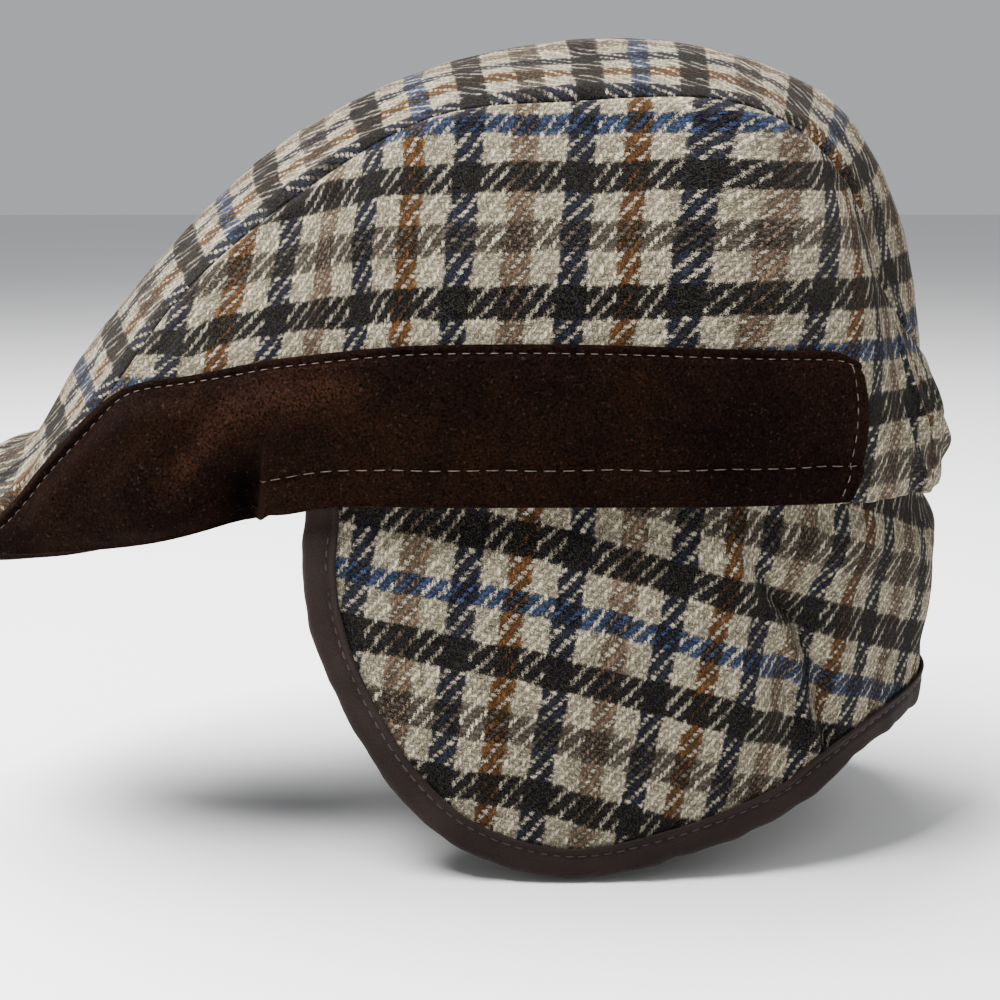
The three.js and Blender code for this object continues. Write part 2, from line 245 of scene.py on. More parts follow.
def side_point(s, t):
    """Line from lower edge to seam, pushed outward by the bulge's parabola, the folds and the gathers."""
    row = crown(s)
    edge = point(row["edge_x"], row["edge_y"], row["edge_z"])
    seam = point(row["seam_x"], row["seam_y"], row["seam_z"])
    pleat = GATHER_DEPTH * (0.5 + 0.5 * np.cos(2 * np.pi * (CROWN_BACK - s) / GATHER_PITCH))
    pleat = pleat * ease(s, GATHER_FROM, GATHER_FULL) * (1 - ease(t, *GATHER_FADE))
    folds = fold_height(SIDE_FOLDS, s, t, STATION_LENGTH, PANEL_HEIGHT)
    stand = row["bulge"] * 4 * t * (1 - t) + (folds + pleat) * (1 - t**4)
    return mix(edge, seam, np.asarray(t)[..., None]) + outward(edge) * stand[..., None]


def top_point(s, across):
    """From the middle line to the seam, with y and z falling by the share of the width to a fixed power."""
    row = crown(s)
    fall = np.abs(across) ** TOP_ROUNDNESS
    y, z = mix(row["mid_y"], row["seam_y"], fall), mix(row["mid_z"], row["seam_z"], fall)
    return point(row["seam_x"] * across, y, z)


def side_normal(s, t):
    """Direction off the outside of the side panel."""
    return normals_of(side_point, s, t, 1)


def top_normal(s, across):
    """Direction off the outside of the top panel."""
    return normals_of(top_point, s, across, -1)


print("side panel over the ear, mm:", np.round(side_point(np.array(7.0), np.array(0.5)), 1).tolist())

# %% [markdown]
# ## The flap's surface
# The flap follows the rim and hangs from just inside it. Its lower outline is another short table: the
# angle round the head and the height. It swells out below the rim, leans in towards the neck and has a
# tuck behind the ear.

# %% Flap as a function
FLAP_ROWS = np.array([
    [57.8, 3.5], [58.3, -22], [62, -43.5], [69.5, -67.5], [79, -82.8], [93, -89.6],
    [108.5, -83.7], [125, -73.2], [139, -60.5], [157, -55.6], [180, -56], [203, -55.6],
])
FLAP_BACK = 10.0
FLAP_TOP = 9.0
FLAP_TOP_ANGLE = 68.0
FLAP_INSET = 2.9
FLAP_SWELL_DEPTH, FLAP_SWELL_SIDE, FLAP_SWELL_BACK = 14.0, 2.2, 2.1
FLAP_TAPER = 0.0013
FLAP_FOLD_FADE = (0.66, 0.86)
# Each fold: angle and height at both ends, half width, and its height at both ends.
FLAP_FOLDS = (
    (113, -20, 124, -45, 7, -0.3, -2.2),
    (124, -45, 129, -60, 7, -2.2, -1),
    (116, -50, 121, -62, 9, 1.5, 0.5),
)
FLAP_DEGREE = 1.65


def flap_place(s, t):
    """Angle round the head and height: straight lines from the hidden top edge to the outline's curve."""
    station = np.where(s > FLAP_BACK, 2 * FLAP_BACK - s, s)
    low = through(FLAP_ROWS, station)
    angle = mix(mix(FLAP_TOP_ANGLE, 180.0, station / FLAP_BACK), low[..., 0], t)
    return angle, mix(FLAP_TOP, low[..., 1], t)


def flap_point(s, t):
    """Rim point moved outward by the swell and the folds and inward by the square of the depth."""
    angle, z = flap_place(s, t)
    depth = np.maximum(-z, 0)
    back = ((1 - np.cos(np.radians(angle))) / 2) ** 2
    swell = (FLAP_SWELL_SIDE + FLAP_SWELL_BACK * back) * ease(depth, 0, FLAP_SWELL_DEPTH)
    folds = fold_height(FLAP_FOLDS, angle, z, FLAP_DEGREE, 1) * (1 - ease(t, *FLAP_FOLD_FADE))
    rim = rim_point(angle)
    moved = rim + outward(rim) * (swell + folds - FLAP_INSET - FLAP_TAPER * depth**2)[..., None]
    return point(np.where(s > FLAP_BACK, -1, 1) * moved[..., 0], moved[..., 1], z)


def flap_normal(s, t):
    """Direction off the outside of the flap."""
    return normals_of(flap_point, s, t, -1)


print("lowest point of the flap, mm:", float(FLAP_ROWS[:, 1].min()))

# %% [markdown]
# ## From a grid to a mesh
# Cloth and leather have a thickness and soft edges. A Solidify modifier would leave square edges, so a
# wall is built here from its middle surface: the outside and the inside stand half the thickness off it,
# and near the border both close in along a quarter circle until they share their points.

# %% Wall builder
EDGE_STEPS = np.array([0, 0.04, 0.14, 0.32, 0.6])
MIRROR = np.array([-1, 1, 1])


def edge_spaced(count, share):
    """Even values from 0 to 1, with a few extra ones within a share of each end for the rounded edge."""
    near = share * EDGE_STEPS
    return np.concatenate([near, np.linspace(share, 1 - share, count), 1 - near[::-1]])


def rounding(distance, radius):
    """Height of a quarter circle over the distance from an edge: 0 at the edge and 1 beyond the radius."""
    return np.sqrt(1 - (1 - np.clip(distance / radius, 0, 1)) ** 2)


def quads(index):
    """Four corners of every cell of a grid of point numbers."""
    corners = [index[:-1, :-1], index[1:, :-1], index[1:, 1:], index[:-1, 1:]]
    return np.stack(corners, axis=-1).reshape(-1, 4)


def wall(middle, out, half, uv):
    """Points, faces and flat places of a closed wall: half its thickness off the middle on either side."""
    outer, inner = middle + out * half[..., None], middle - out * half[..., None]
    rows, columns = outer.shape[:2]
    outside = np.arange(rows * columns).reshape(rows, columns)
    inside = outside.copy()
    inside[1:-1, 1:-1] = rows * columns + np.arange((rows - 2) * (columns - 2)).reshape(rows - 2, -1)
    points = np.vstack([outer.reshape(-1, 3), inner[1:-1, 1:-1].reshape(-1, 3)])
    flat = np.vstack([uv.reshape(-1, 2), uv[1:-1, 1:-1].reshape(-1, 2)])
    return points, [quads(outside), quads(inside)[:, ::-1]], flat


def mirrored(points, faces, flat):
    """The same piece on the other side: x and the flat u change sign, and each face is turned round."""
    return points * MIRROR, [f[:, ::-1] for f in faces], flat * MIRROR[:2]


print("extra rows at each rounded edge:", len(EDGE_STEPS))

# %% Mesh builder


def volume_of(points, faces):
    """Signed volume, a sixth of the sum of the triangles' triple products: above 0 if faces point out."""
    fans = [f[:, [0, k, k + 1]] for f in faces for k in range(1, f.shape[1] - 1)]
    a, b, c = np.moveaxis(points[np.concatenate(fans)], 1, 0)
    return float(np.einsum("ij,ij->i", a, np.cross(b, c)).sum() / 6)


def make_piece(name, points, faces, finish, uv=None, uv_name="cloth_mm"):
    """A mesh object from points in millimetres and arrays of faces with equal corner counts."""
    if volume_of(points, faces) < 0:
        faces = [f[:, ::-1] for f in faces]
    corners = np.concatenate([f.ravel() for f in faces]).astype(np.int32)
    sizes = np.concatenate([np.full(len(f), f.shape[1]) for f in faces])
    mesh = bpy.data.meshes.new(name)
    mesh.vertices.add(len(points))
    mesh.vertices.foreach_set("co", (points * MM).astype(np.float32).ravel())
    mesh.loops.add(len(corners))
    mesh.loops.foreach_set("vertex_index", corners)
    mesh.polygons.add(len(sizes))
    mesh.polygons.foreach_set("loop_start", (np.cumsum(sizes) - sizes).astype(np.int32))
    mesh.polygons.foreach_set("use_smooth", np.ones(len(sizes), bool))
    mesh.update(calc_edges=True)
    if uv is not None:
        layer = mesh.uv_layers.new(name=uv_name)
        layer.data.foreach_set("uv", uv[corners].astype(np.float32).ravel())
    mesh.materials.append(finish)
    made = bpy.data.objects.new(name, mesh)
    bpy.context.scene.collection.objects.link(made)
    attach(made, "root")
    print(name, "has", len(points), "points and", len(sizes), "faces")
    return made


def set_nap_and_painted_light(piece, brightness):
    """How bright the nap and the painted light on it look at each point, kept with the mesh as its own
    attribute.
    """
    layer = piece.data.attributes.new("nap_and_painted_light", "FLOAT", "POINT")
    layer.data.foreach_set("value", np.asarray(brightness, np.float32).ravel())


unit_corner = np.vstack([np.zeros(3), np.eye(3)])
corner_faces = [np.array([[0, 2, 1], [0, 1, 3], [0, 3, 2], [1, 2, 3]])]
print("volume of a unit corner, a sixth:", round(volume_of(unit_corner, corner_faces), 3))

# %% [markdown]
# ## Colours and nodes
# Every finish is made of shader nodes. One function turns a colour code into the linear numbers that the
# nodes want, and one adds a node with its settings and its links, so that a finish reads like a list of
# steps.

# %% Colour and node helpers


def linear(code):
    """Linear colour of an sRGB hex code: a straight line near black and a power of 2.4 above it."""
    c = np.array([int(code[i : i + 2], 16) for i in (0, 2, 4)]) / 255
    rgb = np.where(c <= 0.04045, c / 12.92, ((c + 0.055) / 1.055) ** 2.4)
    return (*rgb.tolist(), 1.0)


def new_finish(name):
    """An empty material and its node tree."""
    finish = bpy.data.materials.new(name)
    finish.use_nodes = True
    finish.node_tree.nodes.clear()
    return finish, finish.node_tree


def add_node(tree, kind, inputs=None, **settings):
    """One node with its settings. An input is a value, an output, or a node, for its first live output."""
    made = tree.nodes.new("ShaderNode" + kind)
    for setting, value in settings.items():
        setattr(made, setting, value)
    for socket, value in (inputs or {}).items():
        if isinstance(socket, str):
            target = next(i for i in made.inputs if i.enabled and i.name == socket)
        else:
            target = made.inputs[socket]
        if isinstance(value, bpy.types.Node):
            value = next(o for o in value.outputs if o.enabled)
        if isinstance(value, bpy.types.NodeSocket):
            tree.links.new(value, target)
        else:
            target.default_value = value
    return made


print("mid grey in linear light:", round(linear("808080")[0], 3))

# %% [markdown]
# ## Tweed
# The cloth is a woollen 2/2 twill with a gun-club check. The warp changes colour every seven threads or
# so and the weft every six. Each thread passes over two and under two, one step further in every row, so
# that dark and pale squares meet in ragged teeth. A printed check would miss those teeth, so the shader
# weaves: it numbers the threads, asks which one lies on top, and takes that thread's colour. Threads lie
# about 1 mm apart, and loose hairs of each stray over the next, so the places are jittered finely before
# the threads are numbered.

# %% Thread orders
WARP_PITCH = 0.957
WEFT_PITCH = 1.28
FLOAT_SLANT = 0.3
TWILL_REPEAT, OVER_TWO = 4, 2
CREAM, NAVY, INK, BROWN = "BCB39E", "191E33", "111118", "7B6858"
RUST, BLUE, DUN = "684423", "34476D", "5E564D"
WARP_ORDER = ((NAVY, 7), (CREAM, 7), (BROWN, 7), (CREAM, 7), (NAVY, 7), (CREAM, 7), (RUST, 6), (CREAM, 7))
WEFT_ORDER = ((INK, 6), (CREAM, 6), (DUN, 6), (CREAM, 6), (INK, 6), (CREAM, 6), (BLUE, 4), (CREAM, 6))
warp_repeat = sum(count for _, count in WARP_ORDER)
weft_repeat = sum(count for _, count in WEFT_ORDER)
print("check repeat, mm:", round(warp_repeat * WARP_PITCH, 1), "by", round(weft_repeat * WEFT_PITCH, 1))

# %% Tweed: which thread lies on top
# Each jitter of the threads' places: its grain and its reach in millimetres, detail and roughness.
JITTERS = ((14.0, 2.4, 2.0, 0.5), (0.9, 1.15, 3.0, 0.65), (0.22, 1.8, 2.0, 0.5))
tweed, tree = new_finish("woollen_twill_tweed")
cloth_map = add_node(tree, "UVMap", uv_map="cloth_mm")
stages = [cloth_map]
for grain, reach, detail, roughness in JITTERS:
    settings = {"Vector": cloth_map, "Scale": 1 / grain, "Detail": detail, "Roughness": roughness}
    noise = add_node(tree, "TexNoise", settings, noise_dimensions="2D")
    moved = {0: noise.outputs["Color"], 1: (reach, reach, 0), 2: stages[-1]}
    stages.append(add_node(tree, "VectorMath", moved, operation="MULTIPLY_ADD"))
drifted, ragged, fuzzy = stages[1:]
threads = {0: fuzzy, 1: (1 / WARP_PITCH, 1 / WEFT_PITCH, 0)}
threads = add_node(tree, "VectorMath", threads, operation="MULTIPLY")
number = add_node(tree, "SeparateXYZ", {0: add_node(tree, "VectorMath", {0: threads}, operation="FLOOR")})
share = add_node(tree, "SeparateXYZ", {0: add_node(tree, "VectorMath", {0: threads}, operation="FRACTION")})
warp_no, weft_no = number.outputs["X"], number.outputs["Y"]
warp_share, weft_share = share.outputs["X"], share.outputs["Y"]
step = add_node(tree, "Math", {0: warp_no, 1: weft_no}, operation="SUBTRACT")
place = add_node(tree, "Math", {0: step, 1: float(TWILL_REPEAT)}, operation="FLOORED_MODULO")
warp_on_top = add_node(tree, "Math", {0: place, 1: OVER_TWO - 0.5}, operation="LESS_THAN")
print("a thread passes over", OVER_TWO, "and under", TWILL_REPEAT - OVER_TWO)

# %% Tweed: the colour of each thread
thread_colours = []
for thread_no, order, repeat in ((warp_no, WARP_ORDER, warp_repeat), (weft_no, WEFT_ORDER, weft_repeat)):
    in_repeat = add_node(tree, "Math", {0: thread_no, 1: float(repeat)}, operation="FLOORED_MODULO")
    middle = add_node(tree, "Math", {0: in_repeat, 1: 1 / repeat, 2: 0.5 / repeat}, operation="MULTIPLY_ADD")
    stripes = add_node(tree, "ValToRGB", {"Fac": middle})
    stripes.color_ramp.interpolation = "CONSTANT"
    begins = 0
    for n, (code, count) in enumerate(order):
        stop = stripes.color_ramp.elements[n] if n < 2 else stripes.color_ramp.elements.new(begins / repeat)
        stop.position = begins / repeat
        stop.color = linear(code)
        begins += count
    thread_colours.append(stripes)
warp_colour, weft_colour = thread_colours
on_top = add_node(tree, "Mix", {"Factor": warp_on_top, "A": weft_colour, "B": warp_colour}, data_type="RGBA")
both = {"Factor": 1.0, "A": warp_colour, "B": weft_colour}
both = add_node(tree, "Mix", both, data_type="RGBA", blend_type="MULTIPLY")
print("stripes in the warp and in the weft:", len(WARP_ORDER), len(WEFT_ORDER))

# %% Tweed: the rounded shape of each thread
CREST_ACROSS, CREST_ALONG = 2.2, 1.05
warp_float = add_node(tree, "Math", {0: weft_share, 1: place}, operation="SUBTRACT")
warp_float = add_node(tree, "Math", {0: warp_float, 1: 0.5, 2: 0.5}, operation="MULTIPLY_ADD")
weft_float = add_node(tree, "Math", {0: warp_share, 1: place}, operation="ADD")
weft_float = add_node(tree, "Math", {0: weft_float, 1: 0.5, 2: -1.0}, operation="MULTIPLY_ADD")
across = add_node(tree, "Mix", {"Factor": warp_on_top, "A": weft_share, "B": warp_share})
along = add_node(tree, "Mix", {"Factor": warp_on_top, "A": weft_float, "B": warp_float})
leaning = {0: along, 1: -FLOAT_SLANT, 2: FLOAT_SLANT / 2}
leaning = add_node(tree, "Math", leaning, operation="MULTIPLY_ADD")
slanted = add_node(tree, "Math", {0: across, 1: leaning}, operation="ADD")
crests = []
for run, sharpness in ((slanted, CREST_ACROSS), (along, CREST_ALONG)):
    back = add_node(tree, "Math", {0: 1.0, 1: run}, operation="SUBTRACT")
    bow = add_node(tree, "Math", {0: run, 1: back}, operation="MULTIPLY")
    bow = add_node(tree, "Math", {0: bow, 1: 4.0}, operation="MULTIPLY")
    bow = add_node(tree, "Math", {0: bow, 1: 0.0}, operation="MAXIMUM")
    crests.append(add_node(tree, "Math", {0: bow, 1: sharpness}, operation="POWER"))
crest = add_node(tree, "Math", {0: crests[0], 1: crests[1]}, operation="MULTIPLY")
print("nodes that shape the threads:", len(tree.nodes))

# %% Tweed: hairs, and painted shade in the hollows between threads
HAIR_SIZE = 0.4
# The hollows show both threads' colours darkened by this factor: painted shade where the threads shadow each
# other.
HOLLOW_PAINTED_SHADE = (0.6, 0.64, 0.74, 1)
hair = {"Vector": cloth_map, "Scale": 1 / HAIR_SIZE, "Detail": 3.0, "Roughness": 0.75}
hair = add_node(tree, "TexNoise", hair, noise_dimensions="2D")
float_start = add_node(tree, "Math", {0: place, 1: warp_on_top}, operation="MULTIPLY")
float_back = add_node(tree, "Math", {0: float_start, 1: place}, operation="SUBTRACT")
float_warp = add_node(tree, "Math", {0: warp_no, 1: float_back}, operation="ADD")
float_weft = add_node(tree, "Math", {0: weft_no, 1: float_start}, operation="ADD")
float_place = add_node(tree, "CombineXYZ", {0: float_warp, 1: float_weft, 2: warp_on_top})
dye = add_node(tree, "TexWhiteNoise", {"Vector": float_place}, noise_dimensions="3D").outputs["Value"]
paleness = add_node(tree, "RGBToBW", {"Color": warp_colour})
finer = {"Value": paleness, "From Min": 0.05, "From Max": 0.3, "To Min": -0.3, "To Max": -0.05}
finer = add_node(tree, "MapRange", finer)
proud = add_node(tree, "Math", {0: warp_on_top, 1: finer, 2: crest}, operation="MULTIPLY_ADD")
for part, weight in ((hair, 1.4), (dye, 0.35)):
    proud = add_node(tree, "Math", {0: part, 1: weight, 2: proud}, operation="MULTIPLY_ADD")
reached = {"Value": proud, "From Min": 1.15, "From Max": 1.75}
covered = add_node(tree, "MapRange", reached, interpolation_type="SMOOTHSTEP")
shaded = {"Factor": 1.0, "A": both, "B": HOLLOW_PAINTED_SHADE}
painted_hollow_shade = add_node(tree, "Mix", shaded, data_type="RGBA", blend_type="MULTIPLY")
woven = add_node(tree, "Mix", {"Factor": covered, "A": painted_hollow_shade, "B": on_top}, data_type="RGBA")
print("hairs, mm:", HAIR_SIZE)

# %% Tweed: the tone of each thread
# Dye, strands and hairs make a thread uneven. The weft lies deeper than the warp, so painted shade darkens
# it, and dark hairs dull what lies over a dark thread.
CLOUD_SIZE = 22.0
STRAND_STRETCH = (0.7, 4.2)
TONE_BASE, WEFT_SHADED_BRIGHTNESS, OVER_DARK = -1.8, 0.66, 0.58
cloud = {"Vector": cloth_map, "Scale": 1 / CLOUD_SIZE, "Detail": 3.0}
cloud = add_node(tree, "TexNoise", cloud, noise_dimensions="2D")
strands = []
for stretch in (STRAND_STRETCH, STRAND_STRETCH[::-1]):
    drawn = add_node(tree, "VectorMath", {0: ragged, 1: (*stretch, 1)}, operation="MULTIPLY")
    drawn = {"Vector": drawn, "Scale": 1.0, "Detail": 2.0}
    strands.append(add_node(tree, "TexNoise", drawn, noise_dimensions="2D").outputs[0])
strand = add_node(tree, "Mix", {"Factor": warp_on_top, "A": strands[0], "B": strands[1]})
tone = TONE_BASE
for part, weight in ((dye, 0.5), (strand, 2.8), (hair, 2.0), (cloud, 0.3)):
    tone = add_node(tree, "Math", {0: part, 1: weight, 2: tone}, operation="MULTIPLY_ADD")
weft_painted_shade = add_node(tree, "Math", {0: warp_on_top, 1: 1 - WEFT_SHADED_BRIGHTNESS, 2: WEFT_SHADED_BRIGHTNESS}, operation="MULTIPLY_ADD")
tone = add_node(tree, "Math", {0: tone, 1: weft_painted_shade}, operation="MULTIPLY")
below = add_node(tree, "RGBToBW", {"Color": weft_colour})
dulled = {"Value": below, "From Min": 0.005, "From Max": 0.1, "To Min": OVER_DARK, "To Max": 1.0}
dulled = add_node(tree, "MapRange", dulled)
dulled = add_node(tree, "Mix", {"Factor": warp_on_top, "A": 1.0, "B": dulled})
tone = add_node(tree, "Math", {0: tone, 1: dulled}, operation="MULTIPLY")
toned = {"Factor": 1.0, "A": woven, "B": tone}
toned = add_node(tree, "Mix", toned, data_type="RGBA", blend_type="MULTIPLY")
print("weft's brightness beside the warp's:", WEFT_SHADED_BRIGHTNESS)

# %% Tweed: loose fibres and the wool's surface
# Single fibres are too thin to show, so they are drawn 0.26 mm wide and 1.7 mm long, in three directions.
FIBRE_SIZE = (1.7, 0.26, 1)
FIBRE_COLOUR, WOOL_SHEEN = "B4A894", "E8DFD0"
fibre_layers = []
for turn, shift in ((0.5, 0.0), (1.9, 31.0), (2.7, 57.0)):
    lengthwise = {"Location": (shift, shift, 0), "Rotation": (0, 0, turn), "Scale": FIBRE_SIZE}
    turned = add_node(tree, "Mapping", {"Vector": drifted, **lengthwise}, vector_type="TEXTURE")
    streak = {"Vector": turned, "Scale": 1.0, "Detail": 1.0}
    streak = add_node(tree, "TexNoise", streak, noise_dimensions="2D")
    fibre_layers.append(add_node(tree, "MapRange", {"Value": streak, "From Min": 0.66, "From Max": 0.74}))
fibres = add_node(tree, "Math", {0: fibre_layers[0], 1: fibre_layers[1]}, operation="MAXIMUM")
fibres = add_node(tree, "Math", {0: fibres, 1: fibre_layers[2]}, operation="MAXIMUM")
haze = add_node(tree, "MapRange", {"Value": hair, "From Min": 0.5, "From Max": 0.75, "To Max": 0.06})
faint = add_node(tree, "Math", {0: fibres, 1: 0.05, 2: haze}, operation="MULTIPLY_ADD")
hairy = add_node(tree, "Mix", {"Factor": faint, "A": toned, "B": linear(FIBRE_COLOUR)}, data_type="RGBA")
relief = add_node(tree, "Math", {0: hair, 1: 0.5, 2: crest}, operation="MULTIPLY_ADD")
relief = add_node(tree, "Math", {0: fibres, 1: 0.1, 2: relief}, operation="MULTIPLY_ADD")
bumps = add_node(tree, "Bump", {"Height": relief, "Distance": 0.0004, "Strength": 0.7})
wool = add_node(tree, "BsdfPrincipled", {"Base Color": hairy, "Roughness": 0.95, "Normal": bumps})
wool.inputs["Specular IOR Level"].default_value = 0.03
wool.inputs["Sheen Weight"].default_value = 0.06
wool.inputs["Sheen Roughness"].default_value = 0.35
wool.inputs["Sheen Tint"].default_value = linear(WOOL_SHEEN)
add_node(tree, "OutputMaterial", {"Surface": wool})
print("tweed has", len(tree.nodes), "nodes")

# %% [markdown]
# ## Suede
# Suede is the split side of a hide, brushed until it has a short nap. It is nearly black-brown where the
# nap lies one way and a warmer, paler brown where it was stroked the other way, and it glows a little at
# grazing angles. Soft clouds give the stroked patches. A brightness kept with each point paints a highlight
# on the wing's ridge and shade in the crease. A fine grain gives the nap, and a few pale flecks are lint.

# %% Suede finish
# Sizes in metres. The nap's fibres are finer than a picture shows, so its grain is drawn at 0.7 mm.
PATCH_SIZE, NAP_GRAIN, FLECK_SIZE = 0.030, 0.0007, 0.0009
SUEDE_DARK, SUEDE_WARM, SUEDE_FLECK, SUEDE_SHEEN = "0A0404", "170C06", "5C4A40", "8A5E40"
suede, tree = new_finish("brushed_brown_suede")
where = add_node(tree, "TexCoord").outputs["Object"]
stroked = {"Vector": where, "Scale": 1 / PATCH_SIZE, "Detail": 4.0, "Roughness": 0.6}
stroked = add_node(tree, "TexNoise", stroked)
nap = {"Vector": where, "Scale": 1 / NAP_GRAIN, "Detail": 4.0, "Roughness": 0.8}
nap = add_node(tree, "TexNoise", nap)
patches = add_node(tree, "ValToRGB", {"Fac": stroked})
patches.color_ramp.elements[0].position = 0.36
patches.color_ramp.elements[0].color = linear(SUEDE_DARK)
patches.color_ramp.elements[1].position = 0.7
patches.color_ramp.elements[1].color = linear(SUEDE_WARM)
speckle = {"Value": nap, "From Min": 0.37, "From Max": 0.66, "To Min": 0.0, "To Max": 2.0}
speckle = add_node(tree, "MapRange", speckle)
# Brightness kept with each point: painted highlight on the wing's ridge and painted shade in the crease.
nap_and_light_factor = add_node(tree, "Attribute", attribute_name="nap_and_painted_light").outputs["Fac"]
speckle = add_node(tree, "Math", {0: speckle, 1: nap_and_light_factor}, operation="MULTIPLY")
napped = {"Factor": 1.0, "A": patches, "B": speckle}
napped = add_node(tree, "Mix", napped, data_type="RGBA", blend_type="MULTIPLY")
fleck = add_node(tree, "TexNoise", {"Vector": where, "Scale": 1 / FLECK_SIZE, "Detail": 2.0})
fleck = add_node(tree, "MapRange", {"Value": fleck, "From Min": 0.62, "From Max": 0.8, "To Max": 0.2})
flecked = {"Factor": fleck, "A": napped, "B": linear(SUEDE_FLECK)}
napped = add_node(tree, "Mix", flecked, data_type="RGBA")
grain = add_node(tree, "Bump", {"Height": nap, "Distance": 0.0005, "Strength": 0.6})
hide = add_node(tree, "BsdfPrincipled", {"Base Color": napped, "Roughness": 0.95, "Normal": grain})
hide.inputs["Specular IOR Level"].default_value = 0.02
hide.inputs["Sheen Weight"].default_value = 0.03
hide.inputs["Sheen Roughness"].default_value = 0.45
hide.inputs["Sheen Tint"].default_value = linear(SUEDE_SHEEN)
add_node(tree, "OutputMaterial", {"Surface": hide})
print("suede has", len(tree.nodes), "nodes")

# %% [markdown]
# ## Twill tape and sewing threads
# The tape is a close cotton twill in dark brown, with fine diagonal ribs. The ribs are about 0.6 mm
# apart, drawn at 0.8 mm so that they show. Two sewing threads are used: a pale one on the suede and a
# near-black one on the tape and in the seams, dark enough to be painted shade in the stitches' dips and
# the seams' grooves.

# %% Tape finish
TAPE_RIB, LINT_SIZE, WORN_SIZE = 0.8, 0.5, 16.0
TAPE_DARK, TAPE_PALE = "0E0908", "271E1B"
tape, tree = new_finish("cotton_twill_tape")
tape_map = add_node(tree, "UVMap", uv_map="tape_mm")
flat = add_node(tree, "SeparateXYZ", {0: tape_map})
slope = add_node(tree, "Math", {0: flat.outputs["X"], 1: flat.outputs["Y"]}, operation="ADD")
rib = add_node(tree, "Math", {0: slope, 1: 2 * np.pi / TAPE_RIB}, operation="MULTIPLY")
rib = add_node(tree, "Math", {0: rib}, operation="SINE")
lint = {"Vector": tape_map, "Scale": 1 / LINT_SIZE, "Detail": 3.0, "Roughness": 0.7}
lint = add_node(tree, "TexNoise", lint, noise_dimensions="2D")
worn = {"Vector": tape_map, "Scale": 1 / WORN_SIZE, "Detail": 2.0}
worn = add_node(tree, "TexNoise", worn, noise_dimensions="2D")
depth = add_node(tree, "Math", {0: rib, 1: 0.16, 2: lint}, operation="MULTIPLY_ADD")
depth = add_node(tree, "Math", {0: worn, 1: 0.5, 2: depth}, operation="MULTIPLY_ADD")
# The colour follows the height: random wear and lint, and the grooves between the ribs darker as painted
# shade.
tape_tone_and_groove_shade = add_node(tree, "ValToRGB", {"Fac": depth})
tape_tone_and_groove_shade.color_ramp.elements[0].position = 0.45
tape_tone_and_groove_shade.color_ramp.elements[0].color = linear(TAPE_DARK)
tape_tone_and_groove_shade.color_ramp.elements[1].position = 1.05
tape_tone_and_groove_shade.color_ramp.elements[1].color = linear(TAPE_PALE)
raised = add_node(tree, "Bump", {"Height": depth, "Distance": 0.0002, "Strength": 0.6})
cotton = add_node(tree, "BsdfPrincipled", {"Base Color": tape_tone_and_groove_shade, "Roughness": 0.85, "Normal": raised})
cotton.inputs["Specular IOR Level"].default_value = 0.06
cotton.inputs["Sheen Weight"].default_value = 0.04
add_node(tree, "OutputMaterial", {"Surface": cotton})
print("tape has", len(tree.nodes), "nodes")

# %% Sewing thread finishes
PLY_SIZE = 0.0008
SEWING_THREADS = (
    ("pale_sewing_thread", "3A302A", "64554B"),
    # The dark thread is near black, as painted shade where it lies in dips and grooves.
    ("dark_thread_and_painted_shade", "060404", "0F0B0A"),
)
threads_made = {}
for name, dark, pale in SEWING_THREADS:
    finish, tree = new_finish(name)
    where = add_node(tree, "TexCoord").outputs["Object"]
    twist = add_node(tree, "TexNoise", {"Vector": where, "Scale": 1 / PLY_SIZE, "Detail": 2.0})
    plies = add_node(tree, "ValToRGB", {"Fac": twist})
    plies.color_ramp.elements[0].position = 0.35
    plies.color_ramp.elements[0].color = linear(dark)
    plies.color_ramp.elements[1].position = 0.65
    plies.color_ramp.elements[1].color = linear(pale)
    strand = add_node(tree, "BsdfPrincipled", {"Base Color": plies, "Roughness": 0.6})
    strand.inputs["Sheen Weight"].default_value = 0.1
    add_node(tree, "OutputMaterial", {"Surface": strand})
    threads_made[name] = finish
print("threads:", ", ".join(threads_made))

# %% [markdown]
# ## Side panels
# The cloth of a side panel is cut flat, so its check has to stay straight and even on the curved panel.
# Its flat place is worked out from distances on the surface: u runs round the head and v up the wall. The
# twill leans the same way on both sides of a real cap, so the right panel's u runs the other way.

# %% Side panel's flat cloth
SIDE_SHIFT = np.array([-24.0, 6.8])
SIDE_WALK_HEIGHT, SIDE_WALK_STEPS = 0.2, 3000
# The columns lean most away from the middle of the panel. Behind these stations they follow the gathers.
SIDE_LEAN_MIDDLE, SIDE_LEAN_ENDS = -0.085, -0.25
SIDE_LEAN_Y, SIDE_LEAN_SPAN = -5.0, (25, 70)
GATHERED_STATIONS = (8.8, 10.4)
# The rows droop towards the front of the panel, most of all high up.
ROW_DROP, ROW_DROP_Y, ROW_DROP_LENGTH, ROW_DROP_HEIGHT = 8.0, -15.0, 70.0, 50.0


